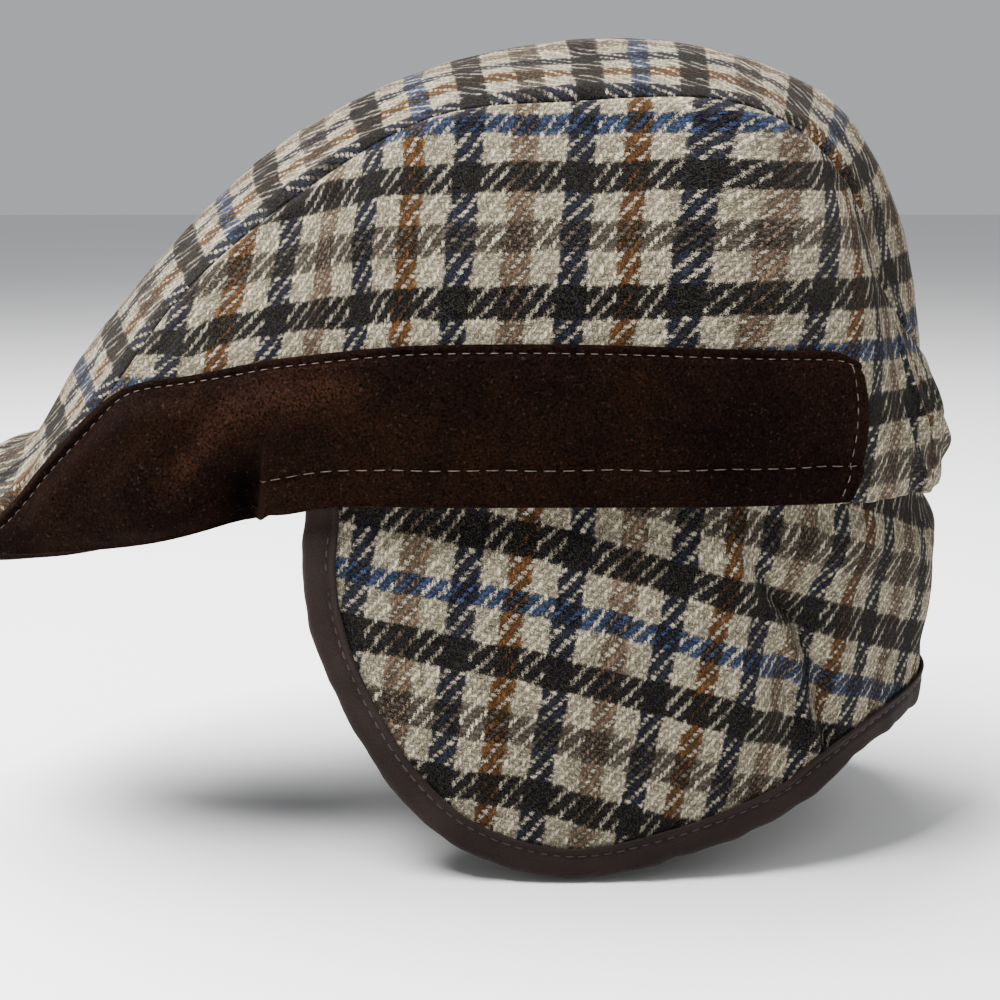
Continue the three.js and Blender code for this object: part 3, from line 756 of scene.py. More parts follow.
def side_flat(s, points, outwards):
    """u is the panel's plan length under the point along a leaning line, and v the length up the wall."""
    stations = np.linspace(CROWN_FRONT, CROWN_BACK, SIDE_WALK_STEPS)
    low = side_point(stations, np.full_like(stations, SIDE_WALK_HEIGHT))
    length = arc_lengths(low * [1, 1, 0], 0)
    length -= np.interp(0, low[:, 1], length)
    y, z = points[..., 1], points[..., 2]
    lean = mix(SIDE_LEAN_MIDDLE, SIDE_LEAN_ENDS, ease(np.abs(y - SIDE_LEAN_Y), *SIDE_LEAN_SPAN))
    by_station = np.interp(s, stations, length)
    by_place = np.interp(y + lean * z, low[:, 1], length)
    u = mix(by_place, by_station, ease(s, *GATHERED_STATIONS))
    step = np.diff(points, axis=1)
    out = (step * outwards[:, 1:]).sum(axis=-1)
    rise = np.cumsum(np.hypot(step[..., 2], out), axis=1)
    v = points[:, :1, 2] + np.concatenate([np.zeros((len(rise), 1)), rise], axis=1)
    forward = np.maximum(ROW_DROP_Y - y, 0) / ROW_DROP_LENGTH
    v = v + ROW_DROP * forward**2 * (np.maximum(z, 0) / ROW_DROP_HEIGHT) ** 1.5
    return np.stack([u, v], axis=-1) + SIDE_SHIFT


def station_grid(count, end):
    """Even stations along the crown, with extra ones at both ends."""
    return mix(CROWN_FRONT, end, edge_spaced(count, 0.004))


print("rows droop at the front by up to, mm:", ROW_DROP)

# %% Crease at the temple
CREASE_Y, CREASE_LEAN = -74.2, 0.22
CREASE_DEPTH, CREASE_AHEAD, CREASE_BEHIND, CREASE_FADE = 6.5, 9.5, 1.4, (11, 25)
ROLL_HEIGHT, ROLL_BEHIND, ROLL_WIDTH, ROLL_FADE = 1.5, 4.0, 4.5, (14, 27)


def behind_crease(points, up):
    """Millimetres behind the leaning line of the temple's crease."""
    return points[..., 1] - CREASE_Y - CREASE_LEAN * up


def temple_crease(points, up):
    """Sideways push at the temple, less higher up: in by a bell, steep behind, and out by a roll there."""
    d = behind_crease(points, up)
    width = np.where(d < 0, CREASE_AHEAD, CREASE_BEHIND)
    roll = ROLL_HEIGHT * bell(d - ROLL_BEHIND, ROLL_WIDTH) * (1 - ease(up, *ROLL_FADE))
    push = roll - CREASE_DEPTH * bell(d, width) * (1 - ease(up, *CREASE_FADE))
    return point(np.sign(points[..., 0]) * push, 0.0, 0.0)


print("crease at the temple, mm deep:", CREASE_DEPTH)

# %% Left and right side panels
TWEED_WALL = 2.2
SEAM_RADIUS = 1.0
SIDE_WAVES = ((42, 0.55, 3), (15, 0.16, 4))
# Cloth puffs up beside a seam and lies flat at it. Under the suede it is flat too.
PUFF_HEIGHT, PUFF_IN, PUFF_WIDTH = 0.7, 4.5, 3.2
SEAM_FLAT, BACK_FLAT = 3.0, 6.0
UNDER_SUEDE, CLEAR_OF_SUEDE, PAST_BAND = 0.02, 0.12, (9.3, 9.6)
BUNCH_STATIONS, BUNCH_FADE, BUNCH_STRETCH, BUNCH_WAVE = (9.5, 11), (0.5, 0.9), 0.25, (10, 0.8, 5)

side_s, side_t = np.meshgrid(station_grid(330, CROWN_BACK), edge_spaced(92, 0.012), indexing="ij")
side_base = side_point(side_s, side_t)
side_out = side_normal(side_s, side_t)
to_rim = arc_lengths(side_base, 1)
to_seam = to_rim[:, -1:] - to_rim
to_front = arc_lengths(side_base, 0)
to_back = to_front[-1:] - to_front
side_uv = side_flat(side_s, side_base, outward(side_base))
suede_top = crown(side_s)["suede"]
bare = ease(side_t, suede_top - UNDER_SUEDE, suede_top + CLEAR_OF_SUEDE)
bare = np.maximum(bare, ease(side_s, *PAST_BAND))
unevenness = uneven(side_uv[..., 0], side_uv[..., 1], SIDE_WAVES)
seam_puff = PUFF_HEIGHT * bell(to_seam - PUFF_IN, PUFF_WIDTH)
bunched = ease(side_s, *BUNCH_STATIONS) * (1 - ease(side_t, *BUNCH_FADE))
gathers = bunched * ripples(to_front, BUNCH_STRETCH * to_rim, *BUNCH_WAVE)
side_lift = bare * (unevenness + seam_puff + gathers) * ease(to_seam, 0, SEAM_FLAT)
side_lift = side_lift * ease(to_back, 0, BACK_FLAT)
half = TWEED_WALL / 2 * rounding(np.minimum(to_rim, to_seam), SEAM_RADIUS)
half = half * rounding(np.minimum(to_front, to_back), SEAM_RADIUS)
side_mid = side_base + side_out * (side_lift - TWEED_WALL / 2)[..., None]
side_mid = side_mid + temple_crease(side_base, to_rim)
side_wall = wall(side_mid, side_out, half, side_uv)
side_left = make_piece("crown_side_left_cloth", *side_wall[:2], tweed, side_wall[2])
right_wall = mirrored(*side_wall)
side_right = make_piece("crown_side_right_cloth", *right_wall[:2], tweed, right_wall[2])
for piece, node in ((side_left, "crown_side_left"), (side_right, "crown_side_right")):
    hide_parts(node)

# %% [markdown]
# ## Top panel
# The top panel's cloth runs the other way: its warp goes from front to back. At the peak's front it turns
# under the board in a half round, so the peak shows a folded edge and no raw one.

# %% Top panel with its turned front edge
TONGUE_TIP = 0.03
TURN_RADIUS = 2.7
TURN_ANGLE = np.radians(165)
TURN_STEPS = 9

top_s, top_across = np.meshgrid(
    station_grid(270, CROWN_BACK - TONGUE_TIP), 2 * edge_spaced(110, 0.008) - 1, indexing="ij"
)
top_base = top_point(top_s, top_across)
top_out = top_normal(top_s, top_across)
turn = np.linspace(TURN_ANGLE, 0, TURN_STEPS, endpoint=False)[:, None, None]
forward = unit(top_base[0] - top_base[1])
turned_out = top_out[0] * np.cos(turn) + forward * np.sin(turn)
turned = top_base[0] - top_out[0] * TURN_RADIUS + turned_out * TURN_RADIUS
top_base = np.concatenate([turned, top_base])
top_out = np.concatenate([turned_out, top_out])
print("rows and columns of the top panel:", top_base.shape[:2])

# %% Top panel's flat cloth and mesh
TOP_SHIFT = np.array([-10.5, -14.5])
TOP_WAVES = ((45, 0.5, 7), (16, 0.14, 8))
END_FLAT = (12, 30)
# The panel is eased to one width where the crown is widest, so that the check keeps its columns there.
TOP_FULL_WIDTH, FRONT_SHARE, FRONT_STATIONS, REAR_STATIONS = 64.0, 0.3, (1, 3), (8, 9.2)

middle = top_base.shape[1] // 2
line = top_base[:, middle]
along_line = arc_lengths(line, 0)
tangent = unit(np.gradient(line, axis=0))
aside = top_base - line[:, None]
slip = (aside * tangent[:, None]).sum(axis=-1)
square = aside - slip[..., None] * tangent[:, None]
width = arc_lengths(square, 1)
stations = np.concatenate([np.full(TURN_STEPS, CROWN_FRONT), top_s[:, 0]])
drawn_in = mix(FRONT_SHARE, 1.0, ease(stations, *FRONT_STATIONS)) * (1 - ease(stations, *REAR_STATIONS))
fullness = 1 + drawn_in * (TOP_FULL_WIDTH / crown(stations)["seam_x"] - 1)
top_u = (width - width[:, middle : middle + 1]) * fullness[:, None]
top_uv = np.stack([top_u, along_line[:, None] + slip], axis=-1) + TOP_SHIFT
to_seam = np.minimum(width, width[:, -1:] - width)
walked = arc_lengths(top_base, 0)
to_end = np.minimum(walked, walked[-1:] - walked)
unevenness = uneven(top_u, top_uv[..., 1], TOP_WAVES)
seam_puff = PUFF_HEIGHT * bell(to_seam - PUFF_IN, PUFF_WIDTH)
top_lift = (unevenness + seam_puff) * ease(to_seam, 0, SEAM_FLAT) * ease(to_end, *END_FLAT)
half = TWEED_WALL / 2 * rounding(to_seam, SEAM_RADIUS) * rounding(to_end, SEAM_RADIUS)
top_mid = top_base + top_out * (top_lift - TWEED_WALL / 2)[..., None]
top_wall = wall(top_mid, top_out, half, top_uv)
top_cloth = make_piece("crown_top_cloth", *top_wall[:2], tweed, top_wall[2])
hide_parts("crown_top")

# %% [markdown]
# ## Seams
# Where two panels meet, their edges are turned in and sewn together. A thin roll lies behind the groove,
# as wide as the gap between the two edges and a little more, and keeps light from showing through.

# %% Turned-in seams
SEAM_SIDES = 8
SEAM_ROLL, SEAM_SINK = 0.5, 0.35
SEAM_FROM, SEAM_STEPS = 0.05, 420
BACK_SEAM_END, BACK_SEAM_STEPS = 0.03, 60


def tube(path, up, radius):
    """Rings carried along a path, each as wide as its radius, and closed by one face at either end."""
    run = unit(np.gradient(path, axis=0))
    aside = unit(np.cross(run, up))
    above = np.cross(aside, run)
    turn = np.arange(SEAM_SIDES) * 2 * np.pi / SEAM_SIDES
    ring = above[:, None] * np.cos(turn)[:, None] + aside[:, None] * np.sin(turn)[:, None]
    points = path[:, None] + ring * radius[:, None, None]
    index = np.arange(points[..., 0].size).reshape(points.shape[:2])
    index = np.concatenate([index, index[:, :1]], axis=1)
    return points.reshape(-1, 3), [quads(index), np.stack([index[0, -2::-1], index[-1, :-1]])]


def join(parts):
    """Several sets of points and faces as one."""
    starts = np.cumsum([0] + [len(points) for points, _ in parts])
    faces = [[f + start for f in part[1]] for part, start in zip(parts, starts)]
    return np.vstack([points for points, _ in parts]), [np.concatenate(kind) for kind in zip(*faces)]


seam_s = np.linspace(SEAM_FROM, CROWN_BACK - TONGUE_TIP, SEAM_STEPS)
full = np.ones_like(seam_s)
side_up, top_up = side_normal(seam_s, full), top_normal(seam_s, full)
seam_gap = np.linalg.norm(side_up - top_up, axis=-1) * TWEED_WALL / 2
seam_up = unit(side_up + top_up)
seam_path = side_point(seam_s, full) - (side_up + top_up) * TWEED_WALL / 4 - seam_up * SEAM_SINK
loop = [np.concatenate([part, part[::-1] * MIRROR]) for part in (seam_path, seam_up)]
loop_radius = SEAM_ROLL + np.concatenate([seam_gap, seam_gap[::-1]]) / 2
back_t = np.linspace(1, BACK_SEAM_END, BACK_SEAM_STEPS)
back_s = np.full_like(back_t, CROWN_BACK)
back_up = unit(side_normal(back_s, back_t) * [0, 1, 1])
back_path = side_point(back_s, back_t) - back_up * (TWEED_WALL / 2 + SEAM_SINK)
seams = [tube(*loop, loop_radius), tube(back_path, back_up, np.full_like(back_t, SEAM_ROLL))]
# The roll is made near black: painted shade in the seam's groove.
make_piece("crown_seams", *join(seams), threads_made["dark_thread_and_painted_shade"])

# %% [markdown]
# ## Suede bands
# The suede lies on the side panel and is sewn down along its edges, so it is thin and pressed flat at the
# edge, dips along each row of stitches and puffs up in between. Over the peak it fills the whole panel. A
# turned-up strip runs along its lower edge behind the temple, with a rounded front end beside a deep
# crease.

# %% Band's outline on the side panel
BAND_FRONT, BAND_END, BAND_MOST = 0.12, 9.05, 0.985
# The rear end bows out and its upper corner is rounded. The lower edge lifts behind the temple.
END_BOW, END_BOW_FROM, END_CORNER, END_CORNER_FROM = 0.14, BAND_END - 0.5, 0.022, BAND_END - 0.4
LOW_LIFT, LOW_LIFT_STATIONS = 1.0, (4.1, 5.3)
CORNER_UP, CORNER_STATION, CORNER_WIDTH = 1.0, 4.12, 0.12
BAND_STEPS, BAND_WALK_STEPS = 40, 800


def band_place(station, height):
    """Station and height on the side panel: the rear end is a parabola with a rounded upper corner."""
    s = station + END_BOW * 4 * height * (1 - height) * ease(station, END_BOW_FROM, BAND_END)
    row = crown(s)
    low = LOW_LIFT * ease(s, *LOW_LIFT_STATIONS) + CORNER_UP * bell(s - CORNER_STATION, CORNER_WIDTH)
    low = low / (row["seam_z"] - row["edge_z"])
    top = np.minimum(row["suede"], BAND_MOST) - END_CORNER * ease(station, END_CORNER_FROM, BAND_END) ** 2
    return s, mix(low, top, height)


def band_point(station, height):
    """Point of the side panel under the band."""
    return side_point(*band_place(station, height))


def band_distances(station, height):
    """Millimetres up from the lower edge, down from the upper one, to the rear end and back from the tip."""
    low = np.linspace(0, 1, BAND_STEPS + 1)
    line = band_point(*np.meshgrid(np.ravel(station), low, indexing="ij"))
    length = arc_lengths(line, 1)
    rows = np.arange(length.shape[0])
    column = np.clip(np.ravel(height), 0, 1) * BAND_STEPS
    k = np.minimum(column.astype(int), BAND_STEPS - 1)
    up = mix(length[rows, k], length[rows, k + 1], column - k).reshape(np.shape(station))
    down = length[:, -1].reshape(np.shape(station)) - up
    ahead = np.linspace(BAND_FRONT, BAND_END, BAND_WALK_STEPS)
    walked = arc_lengths(band_point(ahead, np.full_like(ahead, 0.5)), 0)
    return up, down, walked[-1] - np.interp(station, ahead, walked), np.interp(station, ahead, walked)


ear_up, ear_down, *_ = band_distances(np.array([7.0]), np.array([0.5]))
print("band over the ear, mm wide:", round(float(ear_up[0] + ear_down[0]), 1))

# %% Rows of stitches and the turned-up strip
UPPER_ROW_IN, POINT_ROW_IN, LOWER_ROW_UP, END_ROW_IN = 2.1, 4.2, 9.6, 2.8
# The upper row lies deeper along the point of the wing, and the lower row rises at the strip's front end.
POINT_STATIONS, POINT_GROOVE, POINT_START = (2.7, 3.5), 1.7, (4, 8)
FRONT_ROW_RISE, FRONT_ROW_STATIONS = 1.4, (4.15, 4.6)
GROOVE, END_GROOVE = 0.75, 0.7
STRIP_OVER_ROW, STRIP_ROUND, STRIP_AHEAD = 0.9, 3.6, 0.9


def upper_row(station):
    """Distance of the upper row of stitches from the band's upper edge."""
    return mix(POINT_ROW_IN, UPPER_ROW_IN, ease(station, *POINT_STATIONS))


def lower_row(station):
    """Height of the lower row of stitches over the band's lower edge."""
    return LOWER_ROW_UP + FRONT_ROW_RISE * (1 - ease(station, *FRONT_ROW_STATIONS))


def stitched_grooves(station, up, down, rear, front, behind):
    """Share of a full groove: a bell across each of the three rows of stitches."""
    grooves = bell(down - upper_row(station), GROOVE) * ease(front, *POINT_START)
    grooves = grooves * mix(POINT_GROOVE, 1, ease(station, *POINT_STATIONS))
    grooves += bell(up - lower_row(station), GROOVE) * behind
    return grooves + END_GROOVE * bell(rear - END_ROW_IN, GROOVE)


def strip_inside(points, up, strip_top):
    """Millimetres inside the strip's outline, a bar with rounded front corners. It is below 0 outside."""
    to_corner = STRIP_ROUND - (behind_crease(points, up) + STRIP_AHEAD)
    to_middle = np.abs(up - strip_top / 2) - (strip_top / 2 - STRIP_ROUND)
    outside = np.hypot(np.maximum(to_corner, 0), np.maximum(to_middle, 0))
    return STRIP_ROUND - outside - np.minimum(np.maximum(to_corner, to_middle), 0)


print("rows of stitches from the band's edges, mm:", UPPER_ROW_IN, LOWER_ROW_UP, END_ROW_IN)

# %% Height of the suede over the cloth
SUEDE_WALL = 1.6
LAYER_GAP = 0.5
EDGE_LIFT, EDGE_EASE, LOW_EDGE_EXTRA = 0.75, 3.0, 2.0
STRIP_RAISE, STRIP_EASE, BEHIND_EASE = 1.1, 1.3, 3.0
GROOVE_DEPTH = 0.6
# The suede is padded between its rows, most of all on the wing, which lies between these distances in front.
PADDING, WING_PADDING, PAD_UNDER_ROW, PAD_OVER_STRIP, PAD_END = 0.9, 1.6, 8.0, 9.0, (3, 10)
WING_BEGINS, WING_ENDS = (72, 88), (118, 142)
BAND_WAVES = ((30, 0.35, 11), (9, 0.12, 12))
WAVE_EDGE, WAVE_END = (1, 6), (2, 8)


def band_lift(station, height):
    """Height of the suede's middle over the cloth: low at its edges and stitched rows, full between them."""
    up, down, rear, front = band_distances(station, height)
    points = band_point(station, height)
    to_edge = np.minimum(np.minimum(up + LOW_EDGE_EXTRA, down), np.minimum(rear, front))
    lift = mix(EDGE_LIFT, LAYER_GAP + SUEDE_WALL / 2, ease(to_edge, 0, EDGE_EASE))
    strip_top = lower_row(station) + STRIP_OVER_ROW
    strip = strip_inside(points, up, strip_top)
    behind = ease(behind_crease(points, up), 0, BEHIND_EASE)
    row_in, strip_edge = upper_row(station), strip_top * behind
    padded = ease(down, row_in, row_in + PAD_UNDER_ROW)
    padded = padded * ease(up, strip_edge, strip_edge + PAD_OVER_STRIP) * ease(rear, *PAD_END)
    wing = ease(-points[..., 1], *WING_BEGINS) * (1 - ease(-points[..., 1], *WING_ENDS))
    lift += STRIP_RAISE * ease(strip, 0, STRIP_EASE) + (PADDING + WING_PADDING * wing) * padded
    waves = uneven(front, up, BAND_WAVES) * ease(np.minimum(up, down), *WAVE_EDGE) * ease(rear, *WAVE_END)
    return lift + waves - GROOVE_DEPTH * stitched_grooves(station, up, down, rear, front, behind)


print("suede's middle over the cloth, mm:", round(float(band_lift(np.array([7.0]), np.array([0.6]))[0]), 2))

# %% Left and right bands
SUEDE_RADIUS = 0.8
# Extra columns of points at the crease, and extra rows beside the stitched edges.
band_columns = [mix(BAND_FRONT, BAND_END, edge_spaced(240, 0.004)), np.linspace(3.82, 4.2, 44)]
band_rows = [edge_spaced(90, 0.03), np.linspace(0.03, 0.12, 16), np.linspace(0.88, 0.97, 16)]
band_grid = [np.unique(np.concatenate(parts)) for parts in (band_columns, band_rows)]
band_station, band_height = np.meshgrid(*band_grid, indexing="ij")
band_s, band_t = band_place(band_station, band_height)
band_base = side_point(band_s, band_t)
band_out = side_normal(band_s, band_t)
band_up, band_down, band_rear, band_fore = band_distances(band_station, band_height)
half = SUEDE_WALL / 2 * rounding(np.minimum(band_up, band_down), SUEDE_RADIUS)
half = half * rounding(np.minimum(band_rear, band_fore), SUEDE_RADIUS)
band_mid = band_base + band_out * band_lift(band_station, band_height)[..., None]
band_mid = band_mid + temple_crease(band_base, band_up)
band_uv = np.stack([band_fore, band_up], axis=-1)
band_wall = wall(band_mid, band_out, half, band_uv)
band_left = make_piece("suede_band_left_hide", *band_wall[:2], suede, band_wall[2])
band_mirror = mirrored(*band_wall)
band_right = make_piece("suede_band_right_hide", *band_mirror[:2], suede, band_mirror[2])

# %% Nap of the bands, with painted highlight and shade
# A painted highlight lies along the wing's padded ridge and painted shade in the crease, and the suede is a
# little paler at the rear.
RIDGE_PAINTED_HIGHLIGHT, RIDGE_LOW, RIDGE_HIGH, RIDGE_CLIMB, RIDGE_WIDTH = 2.0, 15, 30.5, (-98, -74), 4.5
RIDGE_BEGINS, RIDGE_ENDS = (-104, -80), (-68, -36)
VALLEY_PAINTED_SHADE, VALLEY_AHEAD, VALLEY_WIDTH, VALLEY_FADE, VALLEY_END = 0.92, 4, 6, (13, 24), 0.5
REAR_GLOW, REAR_BEGINS = 0.35, (30, 60)


def nap_with_painted_light(points, up):
    """1, plus painted highlight in a bell over the ridge, less painted shade in a bell over the crease, plus
    the rear's share.
    """
    y = points[:, 1]
    past_crease = behind_crease(points, up)
    ridge = bell(up - mix(RIDGE_LOW, RIDGE_HIGH, ease(y, *RIDGE_CLIMB)), RIDGE_WIDTH)
    ridge = ridge * ease(y, *RIDGE_BEGINS) * (1 - ease(y, *RIDGE_ENDS))
    valley = bell(past_crease + VALLEY_AHEAD, VALLEY_WIDTH) * (1 - ease(up, *VALLEY_FADE))
    valley = valley * (past_crease < VALLEY_END)
    return 1 + RIDGE_PAINTED_HIGHLIGHT * ridge - VALLEY_PAINTED_SHADE * valley + REAR_GLOW * ease(y, *REAR_BEGINS)


nap_and_painted_light = nap_with_painted_light(band_wall[0], band_wall[2][:, 1])
print("nap's brightness from", round(float(nap_and_painted_light.min()), 2), "to", round(float(nap_and_painted_light.max()), 2))
for piece, node in ((band_left, "suede_band_left"), (band_right, "suede_band_right")):
    set_nap_and_painted_light(piece, nap_and_painted_light)
    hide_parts(node)

# %% [markdown]
# ## Rows of stitches
# A lockstitch shows as a row of short, slightly raised threads that dive into the leather at both ends.
# Each stitch is a small closed tube: rings carried along the row's path, lifted in the middle and sunk at
# the ends.

# %% Stitch builder
STITCH_SIDES = 6
STITCH_RINGS = np.array([-1, -0.86, -0.45, 0.0, 0.45, 0.86, 1])


def stitch_row(path, normals, pitch, length, thickness):
    """Rings along each stitch: thickness by a root of 1 - q^6, height over the leather falling with q^4."""
    walked = arc_lengths(path, 0)
    starts = np.arange(pitch / 2, walked[-1] - pitch / 4, pitch)
    places = starts[:, None] + STITCH_RINGS * length / 2
    at = np.stack([np.interp(places, walked, path[:, k]) for k in range(3)], axis=-1)
    up = unit(np.stack([np.interp(places, walked, normals[:, k]) for k in range(3)], axis=-1))
    run = unit(at[:, 2:] - at[:, :-2])
    run = np.concatenate([run[:, :1], run, run[:, -1:]], axis=1)
    aside = unit(np.cross(up, run))
    radius = thickness / 2 * np.sqrt(np.maximum(1 - STITCH_RINGS**6, 0.05))
    height = thickness * (0.35 - 0.75 * STITCH_RINGS**4)
    turn = np.arange(STITCH_SIDES) * 2 * np.pi / STITCH_SIDES
    lifted = at + up * height[:, None]
    ring = up[:, :, None] * np.cos(turn)[:, None] + aside[:, :, None] * np.sin(turn)[:, None]
    points = lifted[:, :, None] + ring * radius[:, None, None]
    index = np.arange(points[..., 0].size).reshape(len(starts), len(STITCH_RINGS), STITCH_SIDES)
    across = np.roll(index, -1, axis=2)
    sides = np.stack([index[:, :-1], index[:, 1:], across[:, 1:], across[:, :-1]], axis=-1).reshape(-1, 4)
    ends = np.concatenate([index[:, 0], index[:, -1, ::-1]])
    return points.reshape(-1, 3), [sides, ends]


print("points in one stitch:", STITCH_SIDES * len(STITCH_RINGS))

# %% Stitches on the bands
PALE_THREAD_WIDTH = 0.22
# Each row: where it starts and how far before the band's end it stops, its pitch and the length of a stitch.
UPPER_ROW, LOWER_ROW = (0.62, 0.12, 3.3, 2.0), (4.26, 0.05, 4.5, 3.2)
END_ROW, END_ROW_HEIGHTS = (0.17, 3.4, 2.0), (0.05, 0.93)


def on_band(station, height):
    """Points and directions on top of the suede."""
    s, t = band_place(station, height)
    base, out = side_point(s, t), side_normal(s, t)
    up = band_distances(station, height)[0]
    top = base + out * (band_lift(station, height) + SUEDE_WALL / 2)[..., None]
    return top + temple_crease(base, up), out


def height_at(station, from_low):
    """Share of the band's height so many mm over its lower edge, or under its upper one if below 0."""
    up, down, *_ = band_distances(station, np.full_like(station, 0.5))
    return np.clip(np.where(from_low > 0, from_low, up + down + from_low) / (up + down), 0.02, 0.98)


upper = np.linspace(UPPER_ROW[0], BAND_END - UPPER_ROW[1], 700)
lower = np.linspace(LOWER_ROW[0], BAND_END - LOWER_ROW[1], 400)
end_heights = np.linspace(*END_ROW_HEIGHTS, 120)
end_stations = np.full_like(end_heights, BAND_END - END_ROW[0])
rows = [
    stitch_row(*on_band(upper, height_at(upper, -upper_row(upper))), *UPPER_ROW[2:], PALE_THREAD_WIDTH),
    stitch_row(*on_band(lower, height_at(lower, lower_row(lower))), *LOWER_ROW[2:], PALE_THREAD_WIDTH),
    stitch_row(*on_band(end_stations, end_heights), *END_ROW[1:], PALE_THREAD_WIDTH),
]
stitch_points, stitch_faces = join(rows)
pale_thread = threads_made["pale_sewing_thread"]
for side, flip in (("left", 1), ("right", MIRROR)):
    make_piece("band_stitches_" + side, stitch_points * flip, stitch_faces, pale_thread)

# %% [markdown]
# ## Peak
# The peak is a stiff board inside the front of the crown. Only its underside and its edge show, and they
# are covered with suede. Its inner edge follows the forehead and its outer edge lies just inside the
# cloth.

# %% Peak board
PEAK_BOARD = 2.8
PEAK_ANGLE = 49.0
PEAK_SEAT_TEMPLE, PEAK_SEAT_MIDDLE, PEAK_SEAT_INSET = -3.2, 14.0, 3.0
PEAK_CROWN = 4.0
PEAK_FRONT_SHARE = 0.3
PEAK_INSET = TWEED_WALL + 0.6
PEAK_DROP_SIDE, PEAK_DROP_TIP, PEAK_DROP_FRONT = 0.4, 3.9, 2.4
TEMPLE = 3.85
PEAK_RADIUS = 1.3
# Towards the temples the board grows thin and moves up and in, under the suede.
TEMPLE_TURN, TEMPLE_THIN, TEMPLE_UP, TEMPLE_IN = (0.55, 0.95), 0.4, 4.0, 6.8


def peak_edge(turn):
    """The top panel's front edge near the middle and the side panel's lower edge beyond it, moved inwards."""
    share = np.abs(turn)
    to_tip = np.minimum(share / PEAK_FRONT_SHARE, 1)
    front = top_point(np.full_like(share, CROWN_FRONT), to_tip)
    front[..., 2] -= mix(PEAK_DROP_FRONT, PEAK_DROP_TIP, to_tip**2)
    to_temple = np.clip((share - PEAK_FRONT_SHARE) / (1 - PEAK_FRONT_SHARE), 0, 1)
    row = crown(mix(CROWN_FRONT, TEMPLE, to_temple))
    beside = point(row["edge_x"], row["edge_y"], row["edge_z"] - PEAK_DROP_SIDE)
    edge = np.where((share <= PEAK_FRONT_SHARE)[..., None], front, beside)
    edge = edge - outward(edge) * PEAK_INSET
    return edge * point(np.sign(turn), 1.0, 1.0)


def peak_point(turn, out):
    """Straight lines from the forehead to the outer edge, raised by a parabola that fades at the temples."""
    seat = rim_point(np.abs(turn) * PEAK_ANGLE)
    seat = (seat - outward(seat) * PEAK_SEAT_INSET) * point(np.sign(turn), 1.0, 1.0)
    seat[..., 2] = mix(PEAK_SEAT_MIDDLE, PEAK_SEAT_TEMPLE, turn**2)
    board = mix(seat, peak_edge(turn), out[..., None])
    board[..., 2] += PEAK_CROWN * 4 * out * (1 - out) * (1 - turn**2) ** 2
    return board


peak_turn, peak_out = np.meshgrid(2 * edge_spaced(150, 0.005) - 1, edge_spaced(46, 0.03), indexing="ij")
peak_base = peak_point(peak_turn, peak_out)
peak_base = peak_base + temple_crease(peak_base, np.zeros_like(peak_out)) * peak_out[..., None]
peak_up = normals_of(peak_point, peak_turn, peak_out, -1)
peak_run, peak_wide = arc_lengths(peak_base, 1), arc_lengths(peak_base, 0)
to_side = np.minimum(peak_wide, peak_wide[-1:] - peak_wide)
to_rim = np.minimum(peak_run, peak_run[:, -1:] - peak_run)
at_temple = ease(np.abs(peak_turn), *TEMPLE_TURN)
board = PEAK_BOARD * mix(1, TEMPLE_THIN, at_temple)
half = board / 2 * rounding(to_rim, PEAK_RADIUS) * rounding(to_side, PEAK_RADIUS)
peak_mid = peak_base + peak_up * (TEMPLE_UP * at_temple - board / 2)[..., None]
peak_mid = peak_mid - outward(peak_base) * (TEMPLE_IN * at_temple * peak_out)[..., None]
peak_uv = np.stack([peak_wide, peak_run], axis=-1)
peak_wall = wall(peak_mid, peak_up, half, peak_uv)
peak = make_piece("peak_underside", *peak_wall[:2], suede, peak_wall[2])
set_nap_and_painted_light(peak, np.ones(len(peak_wall[0])))
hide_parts("peak")

# %% [markdown]
# ## Ear flap
# The flap is one long piece of the same tweed. It is cut like a collar, so that on both sides its rows
# climb towards the front and its columns lean with them, and they are level only at the nape. A sharp
# crease runs down behind the ear, where the flap was folded up. It takes up a little of the cloth, and at
# the nape the cloth is gathered.

# %% Flap's flat cloth and its tuck
FLAP_BEND, FLAP_LEAN, FLAP_CLIMB, FLAP_ROWS_APART = 32.0, 0.24, 0.272, 1.1
FLAP_GATHER, FLAP_GATHER_ENDS = 0.34, (62, 72)
# Towards the front the lean and the climb of the cloth are eased by these shares, between these lengths.
LEAN_EASED, LEAN_EASE, CLIMB_EASED, CLIMB_EASE = 0.35, (95, 150), 0.5, (130, 175)
FLAP_SHIFT = np.array([24.0, -17.4])
# The tuck's line, as depths below the rim and angles round the head at those depths.
TUCK_DOWN, TUCK_ANGLE = (0, 10, 20, 28, 39, 51, 58), (113, 114.2, 117.9, 122.1, 126, 128.1, 130)
TUCK_TAKE, TUCK_DEPTH, TUCK_WIDTH = 8.5, 3.4, 1.9
TUCK_BEGINS, TUCK_TAKEN, TUCK_RETURN = (4, 24), (-2, 2), (135, 176)
TUCK_ROLL, TUCK_ROLL_AHEAD, TUCK_ROLL_WIDTH = 1.9, 3.6, 2.8


def tuck(angle, z):
    """Millimetres behind the tuck's line, and the share of its depth that is reached at this height."""
    behind = (angle - np.interp(-z, TUCK_DOWN, TUCK_ANGLE)) * FLAP_DEGREE
    return behind, ease(-z, *TUCK_BEGINS)


def from_nape(rate, length, turns):
    """Running integral of a rate over the length, by trapezoids, counted from the middle of the nape."""
    total = np.concatenate([[0], np.cumsum((rate[1:] + rate[:-1]) / 2 * np.diff(length))])
    return total - np.interp(180, turns, total)


